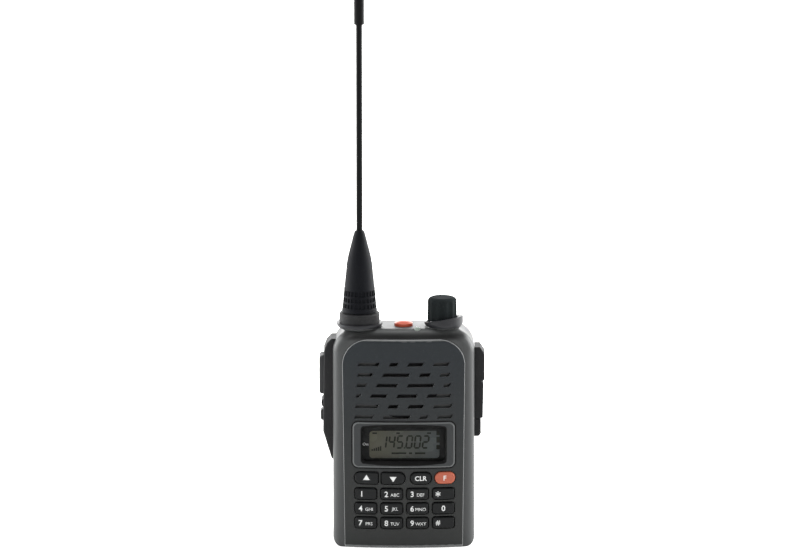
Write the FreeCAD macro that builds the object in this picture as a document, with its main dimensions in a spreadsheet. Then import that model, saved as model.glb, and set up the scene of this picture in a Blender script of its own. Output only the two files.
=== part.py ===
import FreeCAD, Part
import math
import os
from types import SimpleNamespace

import Sketcher
from FreeCAD import Placement, Rotation, Vector

# Handheld VHF radio, in millimetres. +Z is up, the keypad faces -Y and +X is to the right as seen from
# the front. The origin is the centre of the flat base.

SIZES = {
    # Case: a moulded shell, open at the back, with a gently bowed front
    "case_width": 58.0,
    "case_height": 91.4,
    "case_front": 18.0,            # centre plane to the crown of the front face
    "case_back": 2.0,              # centre plane to the back edge
    "case_wall": 1.8,
    "case_roof": 2.2,
    "shoulder_corner": 10.0,       # round of the two upper corners as seen from the front
    "inner_corner": 6.5,           # the same inside the shell
    "case_bow": 145.0,             # radius of the bowed front face
    "edge_round": 4.5,             # all along the front face's sides and top
    "foot_round": 1.0,
    "foot_corner": 4.0,
    "inside_round": 2.0,
    # Raised centre panel
    "panel_proud": 0.7,
    "panel_top_width": 50.6,
    "panel_foot_width": 48.4,
    "panel_top": 87.6,
    "panel_corner": 11.0,
    "panel_edge": 0.5,
    # Speaker grille
    "grille_top_row": 77.2,
    "grille_pitch": 4.4,
    "grille_half": 18.9,           # half the length of the top row
    "grille_spread": 0.3,          # how much longer each lower row is at each end
    "slot_height": 1.6,
    "slot_web": 3.4,               # plastic left between two slots of a row
    "slot_slant": 0.9,
    "slot_open_inset": 0.6,        # rim of the speaker that the open slots stay clear of
    "slot_depth": 1.8,             # of the blind ends of the slots, from the panel's face
    # Speaker
    "speaker_level": 68.6,
    "speaker_radius": 15.0,
    "speaker_fit": 0.15,
    "speaker_ring_wall": 0.75,
    "speaker_rim": 1.3,
    "speaker_depth": 5.3,
    "magnet_radius": 8.5,
    "basket_lip": 0.4,
    "basket_foot": 0.5,
    "basket_floor": 0.8,
    "cone_mouth": 13.4,
    "cone_throat": 7.2,
    "cone_sunk": 0.3,
    "cone_clear": 0.7,             # between the cone and its basket
    "cone_paper": 0.4,
    "mesh_thickness": 0.3,
    "mesh_gap": 0.15,
    # Display
    "display_level": 43.5,
    "bezel_width": 41.9,
    "bezel_height": 19.0,
    "bezel_corner": 2.4,
    "bezel_proud": 0.5,
    "bezel_edge": 0.4,
    "window_width": 34.2,
    "window_height": 14.4,
    "window_corner": 2.0,
    "window_slope": 1.7,           # how far the sloped rim runs out around the window
    "window_sunk": 0.7,            # window behind the crown of the front face
    "window_thickness": 1.2,
    "window_lip": 0.9,
    "window_fit": 0.05,
    "glass_gap": 0.4,
    "glass_thickness": 2.2,
    "glass_margin": 1.3,           # above and below the window
    "glass_side_margin": 0.9,
    "holder_wall": 1.1,
    "holder_sunk": 0.2,
    # Keys
    "key_width": 8.8,
    "key_height": 4.6,
    "key_corner": 1.1,
    "key_pitch_across": 10.6,
    "key_pitch_down": 6.1,
    "key_shift": 0.35,             # the columns stand a little right of the middle
    "key_number_row": 23.0,
    "key_tool_row": 29.6,
    "key_proud": 0.8,
    "key_gap": 0.4,
    "key_flange": 0.45,
    "key_flange_gap": 0.2,
    "key_edge": 0.45,
    "key_travel": 0.5,
    "push_gap": 0.1,               # left between any pressed key and what it presses on
    "tool_key_height": 4.8,
    "mat_thickness": 0.8,
    "mat_nub": 0.7,
    "mat_nub_inset": 0.5,
    "mat_margin": 0.8,
    # Boards
    "logic_board_front": 10.5,     # centre plane to the front of the board behind the keys
    "board_thickness": 1.0,
    "logic_board_half": 25.8,
    "logic_board_foot": 3.5,
    "logic_board_top": 52.5,
    "main_board_front": 4.2,
    "main_board_half": 21.0,
    "main_board_foot": 6.0,
    "main_board_top": 84.4,
    "board_gap": 0.2,              # between a board and what stands in front of it
    # Bosses and screws
    "boss_inset": 4.7,             # side of the case to the middle of a boss
    "boss_radius": 2.6,
    "boss_low": 7.0,
    "boss_high": 80.5,
    "boss_clear": 0.3,
    "post_radius": 2.0,
    "post_level": 43.0,
    "screw_radius": 1.25,
    "screw_length": 6.0,
    "screw_head_radius": 2.3,
    "screw_head": 1.4,
    "screw_head_fit": 0.1,
    "screw_slot": 0.6,
    "screw_slot_half": 1.6,
    "screw_slot_depth": 0.7,
    # Top row: antenna, call button and volume knob stand in one row
    "top_row": 8.5,                # centre plane forward to that row
    "antenna_side": 18.05,
    "seat_ring_radius": 9.4,
    "seat_ring_height": 1.7,
    "seat_ring_rim": 0.8,          # straight part at the top of the bowl under the antenna
    "bowl_foot_radius": 7.2,
    "bowl_foot": 0.9,              # below the top face
    "bowl_bulge": 3.5,
    "collar_radius": 8.25,
    "collar_height": 4.1,
    "collar_edge": 0.6,
    "socket_radius": 4.0,
    "socket_flange": 5.0,
    "socket_flange_thickness": 1.6,
    "socket_stem": 3.3,
    "socket_depth": 8.5,
    "thread_radius": 2.5,
    "thread_fit": 0.05,
    "thread_length": 5.0,
    "thread_spare": 2.0,           # of the socket's bore below the plug
    "plug_radius": 3.8,            # of the plug's head inside the boot
    "seal_radius": 6.4,
    "seal_thickness": 0.4,
    "boot_foot_radius": 7.2,
    "boot_rim": 1.2,
    "boot_band_height": 9.6,
    "boot_band_radius": 6.0,
    "boot_mid_height": 20.3,
    "boot_mid_radius": 5.2,
    "boot_height": 33.8,
    "boot_tip_radius": 1.8,
    "boot_bulge": 40.0,
    "whip_radius": 1.27,
    "whip_length": 120.8,
    "tip_radius": 2.1,
    "tip_length": 20.0,
    "tip_overlap": 6.0,
    "tip_round": 0.9,
    # Volume control
    "knob_side": 15.8,
    "knob_radius": 6.15,
    "knob_height": 9.5,
    "knob_gap": 0.8,
    "knob_top_radius": 6.0,
    "knob_round": 1.9,
    "knob_facet": 3.9,             # radius of the cutter that makes each facet
    "knob_facet_top": 4.05,
    "knob_facet_offset": 3.55,     # from the knob's foot edge out to the cutter's axis
    "knob_facets": 12,
    "knob_cap": 2.0,               # plastic over the end of the shaft
    "guard_radius": 8.0,
    "guard_offset": 0.6,
    "guard_bore": 6.7,
    "guard_foot_radius": 5.6,
    "guard_rim": 1.6,              # where the bowl around the knob turns upright, above the top face
    "guard_turn": 35.0,            # degrees from the right towards the front, where the rim is highest
    "guard_low": 1.4,
    "guard_high": 4.7,
    "bush_radius": 3.5,
    "bush_proud": 0.1,
    "shaft_radius": 3.0,
    "shaft_fit": 0.05,
    "nut_radius": 4.9,
    "nut_height": 1.8,
    "control_width": 9.6,
    "control_height": 6.4,
    "control_front": 12.6,
    # Call button and its switch
    "button_radius": 3.75,
    "button_row": 7.0,
    "button_proud": 1.9,
    "button_rim": 1.0,             # top of its upright side above the top face
    "button_fit": 0.15,
    "button_flange": 5.0,
    "button_flange_thickness": 0.7,
    "button_stem": 1.5,
    "button_stem_length": 1.0,
    "button_travel": 0.6,
    "switch_nub": 0.4,
    "switch_height": 3.6,
    "switch_width": 6.4,
    # Status lens
    "lens_side": 5.6,
    "lens_row": 14.2,
    "lens_radius": 1.4,
    "lens_length": 8.0,
    "lens_proud": 0.8,
    # Left side: rubber strip with the talk key and the small key
    "strip_front": 10.0,
    "strip_back": 1.0,
    "strip_top": 86.3,
    "strip_tail": 35.0,
    "strip_under": 2.0,            # inside the case's side, where the case cuts it off
    "strip_shoulder": 0.6,
    "strip_bulge": 3.7,
    "strip_knee": 47.5,
    "strip_head": 81.1,
    "strip_rim": 0.7,
    "strip_head_step": 2.6,
    "strip_head_drop": 2.1,
    "strip_knee_step": 0.4,
    "strip_tail_rise": 1.2,
    "side_key_fit": 0.25,
    "side_key_flange": 0.8,
    "side_key_flange_thickness": 0.8,
    "side_key_row": 4.5,
    "side_key_travel": 0.7,
    "side_key_gap": 0.15,          # between a pressed side key and the case
    "side_key_end_round": 0.7,     # rounds, as shares of how far a side key stands proud
    "side_key_edge_round": 0.3,
    "talk_width": 8.2,
    "talk_length": 16.2,
    "talk_level": 70.9,
    "talk_proud": 1.9,
    "small_key_width": 5.2,
    "small_key_length": 4.6,
    "small_key_level": 53.7,
    "small_key_proud": 1.4,
    "ridge_level": 59.1,
    "ridge_radius": 2.0,
    "ridge_sunk": 0.9,
    "plunger_radius": 1.2,
    "plunger_fit": 0.3,
    "plunger_length": 3.5,
    "side_switch_size": 5.0,
    "side_switch_depth": 2.6,
    "side_board_margin": 0.5,
    # Right side: rubber flap over the jacks, with its foot
    "flap_top": 82.6,
    "flap_hinge": 52.5,
    "flap_foot": 45.2,
    "flap_gap": 0.35,
    "flap_thickness": 4.2,
    "foot_thickness": 2.7,
    "flap_front": 9.4,
    "flap_back": 0.6,
    "flap_groove": 68.1,
    "groove_depth": 0.7,
    "flap_lift": 0.05,             # between the closed flap and the case
    "flap_bevel": 0.7,
    "flap_waist": 0.4,
    "flap_head_drop": 2.8,
    "flap_head_step": 1.9,
    "flap_edge": 0.5,
    "foot_bevel": 0.8,
    "foot_bevel_rise": 1.2,
    "plug_length": 0.9,
    "plug_fit": 0.35,
    "stud_radius": 1.4,
    "stud_head_radius": 2.2,
    "stud_head": 0.8,
    "jack_half_width": 2.6,
    "jack_inset": 11.0,
    "jack_low": 61.0,
    "jack_high": 72.6,
    "jack_big_radius": 1.8,
    "jack_small_radius": 1.3,
    "jack_bore": 8.0,
    "jack_margin": 5.0,
    "jack_nose": 1.4,
    "jack_fit": 0.15,
    "jack_sunk": 0.4,
    # Chassis
    "chassis_fit": 0.2,
    "chassis_thickness": 2.0,
    "chassis_corner": 3.0,
    "standoff_radius": 2.0,
    "standoff_side": 17.0,
    "standoff_low": 10.0,
    "standoff_high": 75.4,
    "pin_pitch": 6.0,
    "pin_level": 14.0,
    "pin_radius": 0.8,
    "pin_fit": 0.3,
    # Battery pack
    "pack_gap": 0.3,
    "pack_back": 18.0,
    "pack_width": 55.0,
    "pack_height": 82.4,
    "pack_wall": 1.6,
    "pack_corner": 5.0,
    "pack_round": 3.0,
    "pack_head": 17.5,             # solid head of the pack that holds the catch
    "lid_thickness": 1.6,
    "lid_fit": 0.1,
    "cell_gap": 0.6,
    "cell_foot": 8.1,
    "cell_corner": 2.5,
    "hook_width": 8.0,
    "hook_side": 16.0,
    "hook_level": 4.5,
    "hook_height": 1.6,
    "hook_reach": 1.9,
    "hook_fit": 0.25,
    # Battery catch
    "catch_half": 6.5,
    "catch_fit": 0.3,
    "catch_foot": 76.4,
    "catch_front": 4.4,
    "catch_back": 13.5,
    "catch_shoulder": 81.6,
    "catch_thumb": 84.6,
    "thumb_depth": 4.9,
    "thumb_bevel": 0.8,
    "tooth_half": 4.0,
    "tooth_depth": 1.6,
    "tooth_top": 84.4,
    "catch_travel": 2.0,
    "ledge_half": 9.0,
    "ledge_low": 82.8,
    "ledge_height": 2.4,
    "ledge_back": 7.6,
    "tooth_fit": 0.3,
    "spring_radius": 1.5,
    "spring_wire": 0.2,
    "spring_pitch": 1.3,
    "spring_seat": 68.6,
    # Belt clip
    "clip_half": 9.0,
    "clip_top": 78.0,
    "clip_foot": 22.0,
    "clip_thickness": 2.0,
    "clip_corner": 3.0,
    "clip_toe": 0.6,
    "clip_mouth": 0.3,             # between the clip's bead and the pack
    "bead_root": 2.0,              # heights on the bead, from the clip's foot
    "bead_crest_low": 1.2,
    "bead_crest_high": 2.6,
    "bead_slope": 0.75,
    "clip_pivot": 66.0,
    "clip_pin_radius": 1.0,
    "clip_pin_fit": 0.05,
    "clip_ear": 2.0,
    "clip_ear_gap": 0.2,
    "clip_barrel": 2.1,
    "bracket_half": 6.0,
    "bracket_half_height": 7.0,
    "bracket_plate": 1.4,
    "clip_coil_radius": 1.7,
    "clip_coil_wire": 0.3,
    "clip_coil_pitch": 0.85,
}

# Middles of the plastic webs between the slots, row by row from the top
GRILLE_WEBS = (
    (-7.9, -0.3, 10.1),
    (-10.6, 4.5, 12.9),
    (-13.2, -0.5, 14.4),
    (-15.6, -4.8, 7.6),
    (-8.4, -0.2, 10.2),
    (-10.4, 4.6, 11.9),
)

# Number keys, row by row from the top
NUMBER_KEYS = (
    ("key_1", "key_2", "key_3", "key_star"),
    ("key_4", "key_5", "key_6", "key_0"),
    ("key_7", "key_8", "key_9", "key_hash"),
)

# Keys of the tool row: name, middle, width, round of the left end and of the right end
TOOL_KEYS = (
    ("key_up", -15.3, 9.6, 2.3, 0.8),
    ("key_down", -4.35, 9.6, 0.8, 2.3),
    ("key_clear", 7.05, 8.5, 2.3, 2.3),
    ("key_function", 16.9, 8.2, 2.3, 2.3),
)

PIN_STEPS = (-1, 0, 1)

# How far a cutting shape runs past the surface that it cuts, and how far joined shapes run together
PAST = 1.0
LAP = 0.2
TINY = 0.001

# Angle in radians from which the edge between two faces counts as sharp
SHARP = 0.3

# Room left for the end of a wire above and below a coil, in wire radii
COIL_END = 1.1

doc = FreeCAD.newDocument("HandheldRadio")
sheet = doc.addObject("Spreadsheet::Sheet", "Sizes")
for line_number, (alias, number) in enumerate(SIZES.items(), 1):
    sheet.set(f"A{line_number}", alias.replace("_", " "))
    sheet.set(f"B{line_number}", str(number))
    sheet.setAlias(f"B{line_number}", alias)
doc.recompute()


class Size:
    """A number together with the sheet expression that gives it."""

    def __init__(self, number, text):
        self.number = number
        self.text = text

    def __add__(self, other):
        other = as_size(other)
        return Size(self.number + other.number, f"({self.text} + {other.text})")

    def __sub__(self, other):
        other = as_size(other)
        return Size(self.number - other.number, f"({self.text} - {other.text})")

    def __mul__(self, other):
        other = as_size(other)
        return Size(self.number * other.number, f"({self.text} * {other.text})")

    def __truediv__(self, other):
        other = as_size(other)
        return Size(self.number / other.number, f"({self.text} / {other.text})")

    def __neg__(self):
        return Size(-self.number, f"(-1 * {self.text})")

    def __radd__(self, other):
        return as_size(other) + self

    def __rsub__(self, other):
        return as_size(other) - self

    __rmul__ = __mul__


def as_size(value):
    if isinstance(value, Size):
        return value
    return Size(float(value), f"({float(value):.6g})")


def root(value):
    return Size(math.sqrt(value.number), f"sqrt({value.text})")


size = SimpleNamespace(**{alias: Size(float(sheet.get(alias)), f"Sizes.{alias}") for alias in SIZES})
nodes = {}


def bind(item, place, value):
    item.setExpression(place, as_size(value).text)


def node(name, item):
    """Names a finished sub-part; its label is its file's name."""
    item.Label = name
    nodes[name] = item
    return item


# Primitives and booleans

AXIS_TURN = {
    "x": Rotation(Vector(0, 1, 0), 90),
    "y": Rotation(Vector(1, 0, 0), -90),
    "z": Rotation(),
}
AXIS_UNIT = {"x": Vector(1, 0, 0), "y": Vector(0, 1, 0), "z": Vector(0, 0, 1)}


def place(item, axis, across, low):
    """Stands a round primitive on an axis; across holds the other two coordinates in X, Y, Z order."""
    spots = [as_size(value) for value in across]
    spots.insert("xyz".index(axis), as_size(low))
    item.Placement = Placement(Vector(*[spot.number for spot in spots]), AXIS_TURN[axis])
    for letter, spot in zip("xyz", spots):
        bind(item, f"Placement.Base.{letter}", spot)
    return item


def box(name, x, y, z):
    """A block between a low and a high bound on each axis."""
    item = doc.addObject("Part::Box", name)
    for side, letter, (low, high) in zip(("Length", "Width", "Height"), "xyz", (x, y, z)):
        bind(item, side, high - low)
        bind(item, f"Placement.Base.{letter}", low)
    return item


def rod(name, axis, across, radius, low, high):
    item = doc.addObject("Part::Cylinder", name)
    bind(item, "Radius", radius)
    bind(item, "Height", as_size(high) - low)
    return place(item, axis, across, low)


def cone(name, axis, across, low_radius, high_radius, low, high):
    item = doc.addObject("Part::Cone", name)
    bind(item, "Radius1", low_radius)
    bind(item, "Radius2", high_radius)
    bind(item, "Height", as_size(high) - low)
    return place(item, axis, across, low)


def fuse(name, *items):
    item = doc.addObject("Part::MultiFuse", name)
    item.Shapes = list(items)
    return item


def group(name, *items):
    """Several separate solids in one sub-part, or separate cutting shapes."""
    item = doc.addObject("Part::Compound", name)
    item.Links = list(items)
    return item


def cut(name, base, *tools):
    item = doc.addObject("Part::Cut", name)
    item.Base = base
    item.Tool = tools[0] if len(tools) == 1 else fuse(f"{name}_tools", *tools)
    return item


def common(name, first, second):
    item = doc.addObject("Part::Common", name)
    item.Base = first
    item.Tool = second
    return item


def tube(name, axis, across, outer, inner, low, high):
    bore = rod(f"{name}_bore", axis, across, inner, as_size(low) - PAST, as_size(high) + PAST)
    return cut(name, rod(f"{name}_rod", axis, across, outer, low, high), bore)


# Sketched bodies

PLANES = {"x": "YZ_Plane", "y": "XZ_Plane", "z": "XY_Plane"}


def origin_part(body, role):
    return next(item for item in body.Origin.OriginFeatures if item.Role == role)


def start_sketch(body, axis, level):
    """A sketch across an axis at a level; across Y its normal points to -Y."""
    sketch = body.newObject("Sketcher::SketchObject", f"{body.Name}_sketch")
    sketch.AttachmentSupport = [(origin_part(body, PLANES[axis]), "")]
    sketch.MapMode = "FlatFace"
    bind(sketch, "AttachmentOffset.Base.z", -as_size(level) if axis == "y" else level)
    return sketch


def constrain(sketch, name, kind, *items):
    """Adds one driving dimension; the last item is its size."""
    value = as_size(items[-1])
    number = sketch.addConstraint(Sketcher.Constraint(kind, *items[:-1], value.number))
    sketch.renameConstraint(number, name)
    bind(sketch, f"Constraints.{name}", value)


def arc_between(start, end, radius):
    """Arc with its middle on the left of the way from start to end, or on the right if radius is below 0."""
    chord = end - start
    half = chord.Length / 2
    left = Vector(-chord.y, chord.x, 0).normalize()
    rise = math.sqrt(max(radius * radius - half * half, 0.0))
    middle = (start + end) / 2 + left * math.copysign(rise, radius)
    circle = Part.Circle(middle, Vector(0, 0, 1), abs(radius))
    first, last = (start, end) if radius > 0 else (end, start)
    angles = [math.atan2(point.y - middle.y, point.x - middle.x) for point in (first, last)]
    if angles[1] < angles[0]:
        angles[1] += 2 * math.pi
    return Part.ArcOfCircle(circle, *angles)


def add_loop(sketch, tag, points, arcs=None):
    """A closed outline with every corner pinned; arcs maps a side's number to its radius."""
    arcs = arcs or {}
    points = [(as_size(across), as_size(up)) for across, up in points]
    spots = [Vector(across.number, up.number, 0) for across, up in points]
    count = len(points)
    first = sketch.GeometryCount
    ends = []
    for side in range(count):
        start, end = spots[side], spots[(side + 1) % count]
        if side in arcs:
            radius = as_size(arcs[side])
            sketch.addGeometry(arc_between(start, end, radius.number), False)
            ends.append((1, 2) if radius.number > 0 else (2, 1))
        else:
            sketch.addGeometry(Part.LineSegment(start, end), False)
            ends.append((1, 2))
    for side in range(count):
        after = (side + 1) % count
        link = Sketcher.Constraint("Coincident", first + side, ends[side][1], first + after, ends[after][0])
        sketch.addConstraint(link)
    for side, (across, up) in enumerate(points):
        constrain(sketch, f"{tag}across{side}", "DistanceX", -1, 1, first + side, ends[side][0], across)
        constrain(sketch, f"{tag}up{side}", "DistanceY", -1, 1, first + side, ends[side][0], up)
    for side, radius in arcs.items():
        radius = as_size(radius)
        constrain(sketch, f"{tag}arc{side}", "Radius", first + side, radius if radius.number > 0 else -radius)


def pad(body, sketch, length):
    feature = body.newObject("PartDesign::Pad", f"{body.Name}_pad")
    feature.Profile = sketch
    bind(feature, "Length", length)
    doc.recompute()
    return feature


def slab(name, axis, loops, low, high, arcs=None):
    """Closed outlines across an axis, padded from a low to a high level."""
    body = doc.addObject("PartDesign::Body", name)
    sketch = start_sketch(body, axis, high if axis == "y" else low)
    for number, points in enumerate(loops):
        add_loop(sketch, f"loop{number}", points, arcs)
    pad(body, sketch, as_size(high) - low)
    return body


def rectangle(across, up):
    return [(across[0], up[0]), (across[1], up[0]), (across[1], up[1]), (across[0], up[1])]


def turned(name, across, outline, arcs=None):
    """An outline of radius and height, turned about an upright axis."""
    body = doc.addObject("PartDesign::Body", name)
    sketch = start_sketch(body, "y", 0)
    add_loop(sketch, "outline", outline, arcs)
    feature = body.newObject("PartDesign::Revolution", f"{name}_turn")
    feature.Profile = sketch
    feature.ReferenceAxis = (sketch, ["V_Axis"])
    feature.Angle = 360
    bind(body, "Placement.Base.x", across[0])
    bind(body, "Placement.Base.y", across[1])
    doc.recompute()
    return body


def along(axis):
    """Test for straight edges that run along an axis."""
    def test(edge):
        if not isinstance(edge.Curve, Part.Line):
            return False
        return abs(abs(edge.tangentAt(edge.FirstParameter).dot(AXIS_UNIT[axis])) - 1) < TINY
    return test


def edge_points(edge):
    middle = (edge.FirstParameter + edge.LastParameter) / 2
    return [edge.valueAt(edge.FirstParameter), edge.valueAt(middle), edge.valueAt(edge.LastParameter)]


def at(axis, level):
    """Test for edges that lie in one plane across an axis."""
    number = as_size(level).number

    def test(edge):
        return all(abs(getattr(point, axis) - number) < TINY for point in edge_points(edge))
    return test


def off_plane(axis, level):
    """Test that leaves out the edges in one plane across an axis."""
    in_plane = at(axis, level)
    return lambda edge: not in_plane(edge)


def beyond(axis, level, sign=1):
    """Test for edges that lie past a level on an axis, on its high side unless sign is -1."""
    number = as_size(level).number

    def test(edge):
        return all((getattr(point, axis) - number) * sign > TINY for point in edge_points(edge))
    return test


def across_plane(axis):
    """Test for edges that run through the planes across an axis."""
    flat = in_one_plane(axis)
    return lambda edge: not flat(edge)


def in_one_plane(axis):
    """Test for edges that keep one value on an axis."""
    def test(edge):
        values = [getattr(point, axis) for point in edge_points(edge)]
        return max(values) - min(values) < TINY
    return test


def sharp(shape):
    """Test for edges of a shape where two faces meet at an angle."""
    def test(edge):
        faces = shape.ancestorsOfType(edge, Part.Face)
        point = edge_points(edge)[1]
        normals = [face.normalAt(*face.Surface.parameter(point)) for face in faces]
        return len(normals) == 2 and normals[0].getAngle(normals[1]) > SHARP
    return test


def edges_of(item, tests):
    pairs = enumerate(item.Shape.Edges, 1)
    return [f"Edge{number}" for number, edge in pairs if all(test(edge) for test in tests)]


def round_edges(body, radius, *tests):
    """Rounds those edges of a body that pass all the tests."""
    base = body.Tip
    feature = body.newObject("PartDesign::Fillet", f"{body.Name}_round")
    feature.Base = (base, edges_of(base, tests))
    bind(feature, "Radius", radius)
    doc.recompute()
    return body


def finish_bodies(solids):
    """Bodies that start from the solids of booleans, to be rounded further."""
    doc.recompute()
    bodies = {}
    for name, item in solids.items():
        bodies[name] = doc.addObject("PartDesign::Body", name)
        bodies[name].BaseFeature = item
    doc.recompute()
    return bodies


# Main levels and places

half_width = size.case_width / 2
left_side = -half_width
right_side = half_width
crown = -size.case_front
back = size.case_back
top = size.case_height
roof = top - size.case_roof
top_row = -size.top_row
inner_crown = crown + size.case_wall
window_front = crown + size.window_sunk
window_back = window_front + size.window_thickness
lip_back = window_back + size.window_lip
glass_front = lip_back + size.glass_gap
glass_back = glass_front + size.glass_thickness
logic_front = -size.logic_board_front
logic_back = logic_front + size.board_thickness
main_front = -size.main_board_front
main_back = main_front + size.board_thickness
mat_face = logic_front - size.mat_thickness
nub_face = mat_face - size.mat_nub
key_back = nub_face - size.key_travel - size.push_gap
chassis_front = back - size.chassis_thickness
boss_side = half_width - size.boss_inset
seat_top = top + size.seat_ring_height
collar_top = seat_top + size.collar_height
boot_foot = collar_top + size.seal_thickness
nut_top = top + size.nut_height
knob_foot = nut_top + size.knob_gap
pack_front = back + size.pack_gap
pack_half = size.pack_width / 2
lid_back = pack_front + size.lid_thickness
antenna_spot = (-size.antenna_side, top_row)
knob_spot = (size.knob_side, top_row)
guard_spot = (size.knob_side + size.guard_offset, top_row)
button_spot = (0, -size.button_row)
speaker_spot = (0, size.speaker_level)
side_row = -size.side_key_row
inner_right = right_side - size.case_wall
catch_spring_spot = (0, (size.catch_front + size.catch_back) / 2)


def bow_skin(name, grow):
    """Everything behind the bowed front face, grown or shrunk."""
    return rod(name, "z", (0, size.case_bow - size.case_front), size.case_bow + grow, -PAST, top + 4 * PAST)


def case_form(name, grow, foot, head, corner, rear=None):
    """The case's outline seen from the front, grown or shrunk, with a bowed front face."""
    half = half_width + grow
    outline = slab(f"{name}_outline", "y", [rectangle((-half, half), (foot, head))], crown - 4 * PAST,
                   rear or back)
    round_edges(outline, corner, along("y"), beyond("z", as_size(head) / 2))
    return common(name, outline, bow_skin(f"{name}_bow", grow))


def rounded_form(name, grow, foot, head, corner, edge, rear=None, foot_round=None):
    """A case form with its front edges rounded."""
    form = case_form(f"{name}_form", grow, foot, head, corner, rear)
    body = finish_bodies({name: form})[name]
    round_edges(body, edge, on_bow(grow), off_plane("z", foot))
    if foot_round:
        round_edges(body, foot_round, at("z", foot), off_plane("y", rear or back))
    return body


def bow_depth(across, grow):
    """Where the bowed face, grown or shrunk, stands at a distance from the middle."""
    bow = size.case_bow + grow
    return size.case_bow - size.case_front - root(bow * bow - across * across)


# Keys: place, size and end rounds of each one

def key_layout():
    keys = []
    for name, middle, width, left_round, right_round in TOOL_KEYS:
        keys.append(SimpleNamespace(name=name, middle=as_size(middle), level=size.key_tool_row,
                                    width=as_size(width), height=size.tool_key_height,
                                    rounds=(as_size(left_round), as_size(right_round))))
    for row, names in enumerate(NUMBER_KEYS):
        for column, name in enumerate(names):
            middle = size.key_pitch_across * (column - (len(names) - 1) / 2) + size.key_shift
            keys.append(SimpleNamespace(name=name, middle=middle,
                                        level=size.key_number_row - size.key_pitch_down * row,
                                        width=size.key_width, height=size.key_height,
                                        rounds=(size.key_corner, size.key_corner)))
    return keys


def key_sides(key, grow):
    """Bounds of a key on the X and Z axes, grown all round."""
    across = (key.middle - key.width / 2 - grow, key.middle + key.width / 2 + grow)
    up = (key.level - key.height / 2 - grow, key.level + key.height / 2 + grow)
    return across, up


def key_block(name, key, grow, front, rear):
    """A block with a key's rounded outline, grown all round."""
    body = slab(name, "y", [rectangle(*key_sides(key, grow))], front, rear)
    round_edges(body, key.rounds[0] + grow, along("y"), beyond("x", key.middle, -1))
    round_edges(body, key.rounds[1] + grow, along("y"), beyond("x", key.middle))
    return body


def on_bow(grow):
    """Test for edges that lie on the bowed face, grown or shrunk."""
    radius = (size.case_bow + grow).number
    middle = (size.case_bow - size.case_front).number

    def test(edge):
        points = edge_points(edge)
        return all(abs(math.hypot(point.x, point.y - middle) - radius) < TINY for point in points)
    return test


def build_keys():
    face_grow = size.panel_proud + size.key_proud
    under_grow = -size.case_wall - size.key_flange_gap
    face = bow_skin("key_face", face_grow)
    under = bow_skin("key_under", under_grow)
    front = crown - face_grow - PAST
    solids = {}
    for key in key_layout():
        cap = common(f"{key.name}_cap", key_block(f"{key.name}_block", key, 0, front, key_back), face)
        across, up = key_sides(key, size.key_flange)
        flange_block = box(f"{key.name}_flange_block", across, (front, key_back), up)
        flange = common(f"{key.name}_flange", flange_block, under)
        solids[key.name] = fuse(f"{key.name}_solid", cap, flange)
    for name, body in finish_bodies(solids).items():
        node(name, round_edges(body, size.key_edge, on_bow(face_grow)))


# Case

def grille_slots():
    """One padded sketch of slanted slots for each row."""
    rows = []
    slant = size.slot_slant
    for row, webs in enumerate(GRILLE_WEBS):
        level = size.grille_top_row - size.grille_pitch * row
        low, high = level - size.slot_height / 2, level + size.slot_height / 2
        half = size.grille_half + size.grille_spread * row
        starts = [-half] + [web + size.slot_web / 2 for web in webs]
        ends = [web - size.slot_web / 2 for web in webs] + [half]
        loops = []
        for start, end in zip(starts, ends):
            loops.append([(start, low), (end - slant, low), (end, high), (start + slant, high)])
        rows.append(slab(f"grille_row_{row + 1}", "y", loops, crown - 2 * PAST, inner_crown + 3 * PAST))
    slots = group("grille_slots", *rows)
    blind = cut("blind_slots", slots, bow_skin("slot_floor", size.panel_proud - size.slot_depth))
    speaker_area = rod("open_slot_area", "y", speaker_spot,
                       size.speaker_radius - size.slot_open_inset, crown - 2 * PAST, inner_crown + 3 * PAST)
    return [blind, common("open_slots", slots, speaker_area)]


def window_block(name, grow, front, rear):
    """A block with the display window's rounded outline, grown all round."""
    half = size.window_width / 2 + grow
    reach = size.window_height / 2 + grow
    levels = (size.display_level - reach, size.display_level + reach)
    body = slab(name, "y", [rectangle((-half, half), levels)], front, rear)
    return round_edges(body, size.window_corner, along("y"))


def window_tools():
    """Sloped rim, opening and inner pocket for the display window."""
    half = size.window_width / 2
    low = size.display_level - size.window_height / 2
    high = size.display_level + size.window_height / 2
    slope = doc.addObject("Part::Wedge", "window_slope")
    rim_front = crown - size.panel_proud - size.bezel_proud
    run = size.window_slope
    bind(slope, "Xmin", -half - run)
    bind(slope, "Xmax", half + run)
    bind(slope, "Zmin", low - run)
    bind(slope, "Zmax", high + run)
    bind(slope, "X2min", -half)
    bind(slope, "X2max", half)
    bind(slope, "Z2min", low)
    bind(slope, "Z2max", high)
    bind(slope, "Ymin", rim_front)
    bind(slope, "Ymax", window_front)
    rim = finish_bodies({"window_rim": slope})["window_rim"]
    round_edges(rim, size.window_corner, across_plane("y"))
    mouth = window_block("window_mouth", run, rim_front - PAST, rim_front + TINY)
    opening = window_block("window_opening", 0, window_front - LAP, window_back + LAP)
    edge = size.window_lip + size.window_fit
    pocket = box("window_pocket", (-half - edge, half + edge), (window_back, inner_crown + 3 * PAST),
                 (low - edge, high + edge))
    return [rim, mouth, opening, pocket]


def key_holes():
    front = crown - 4 * PAST
    return [key_block(f"{key.name}_hole", key, size.key_gap, front, key_back) for key in key_layout()]


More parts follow.
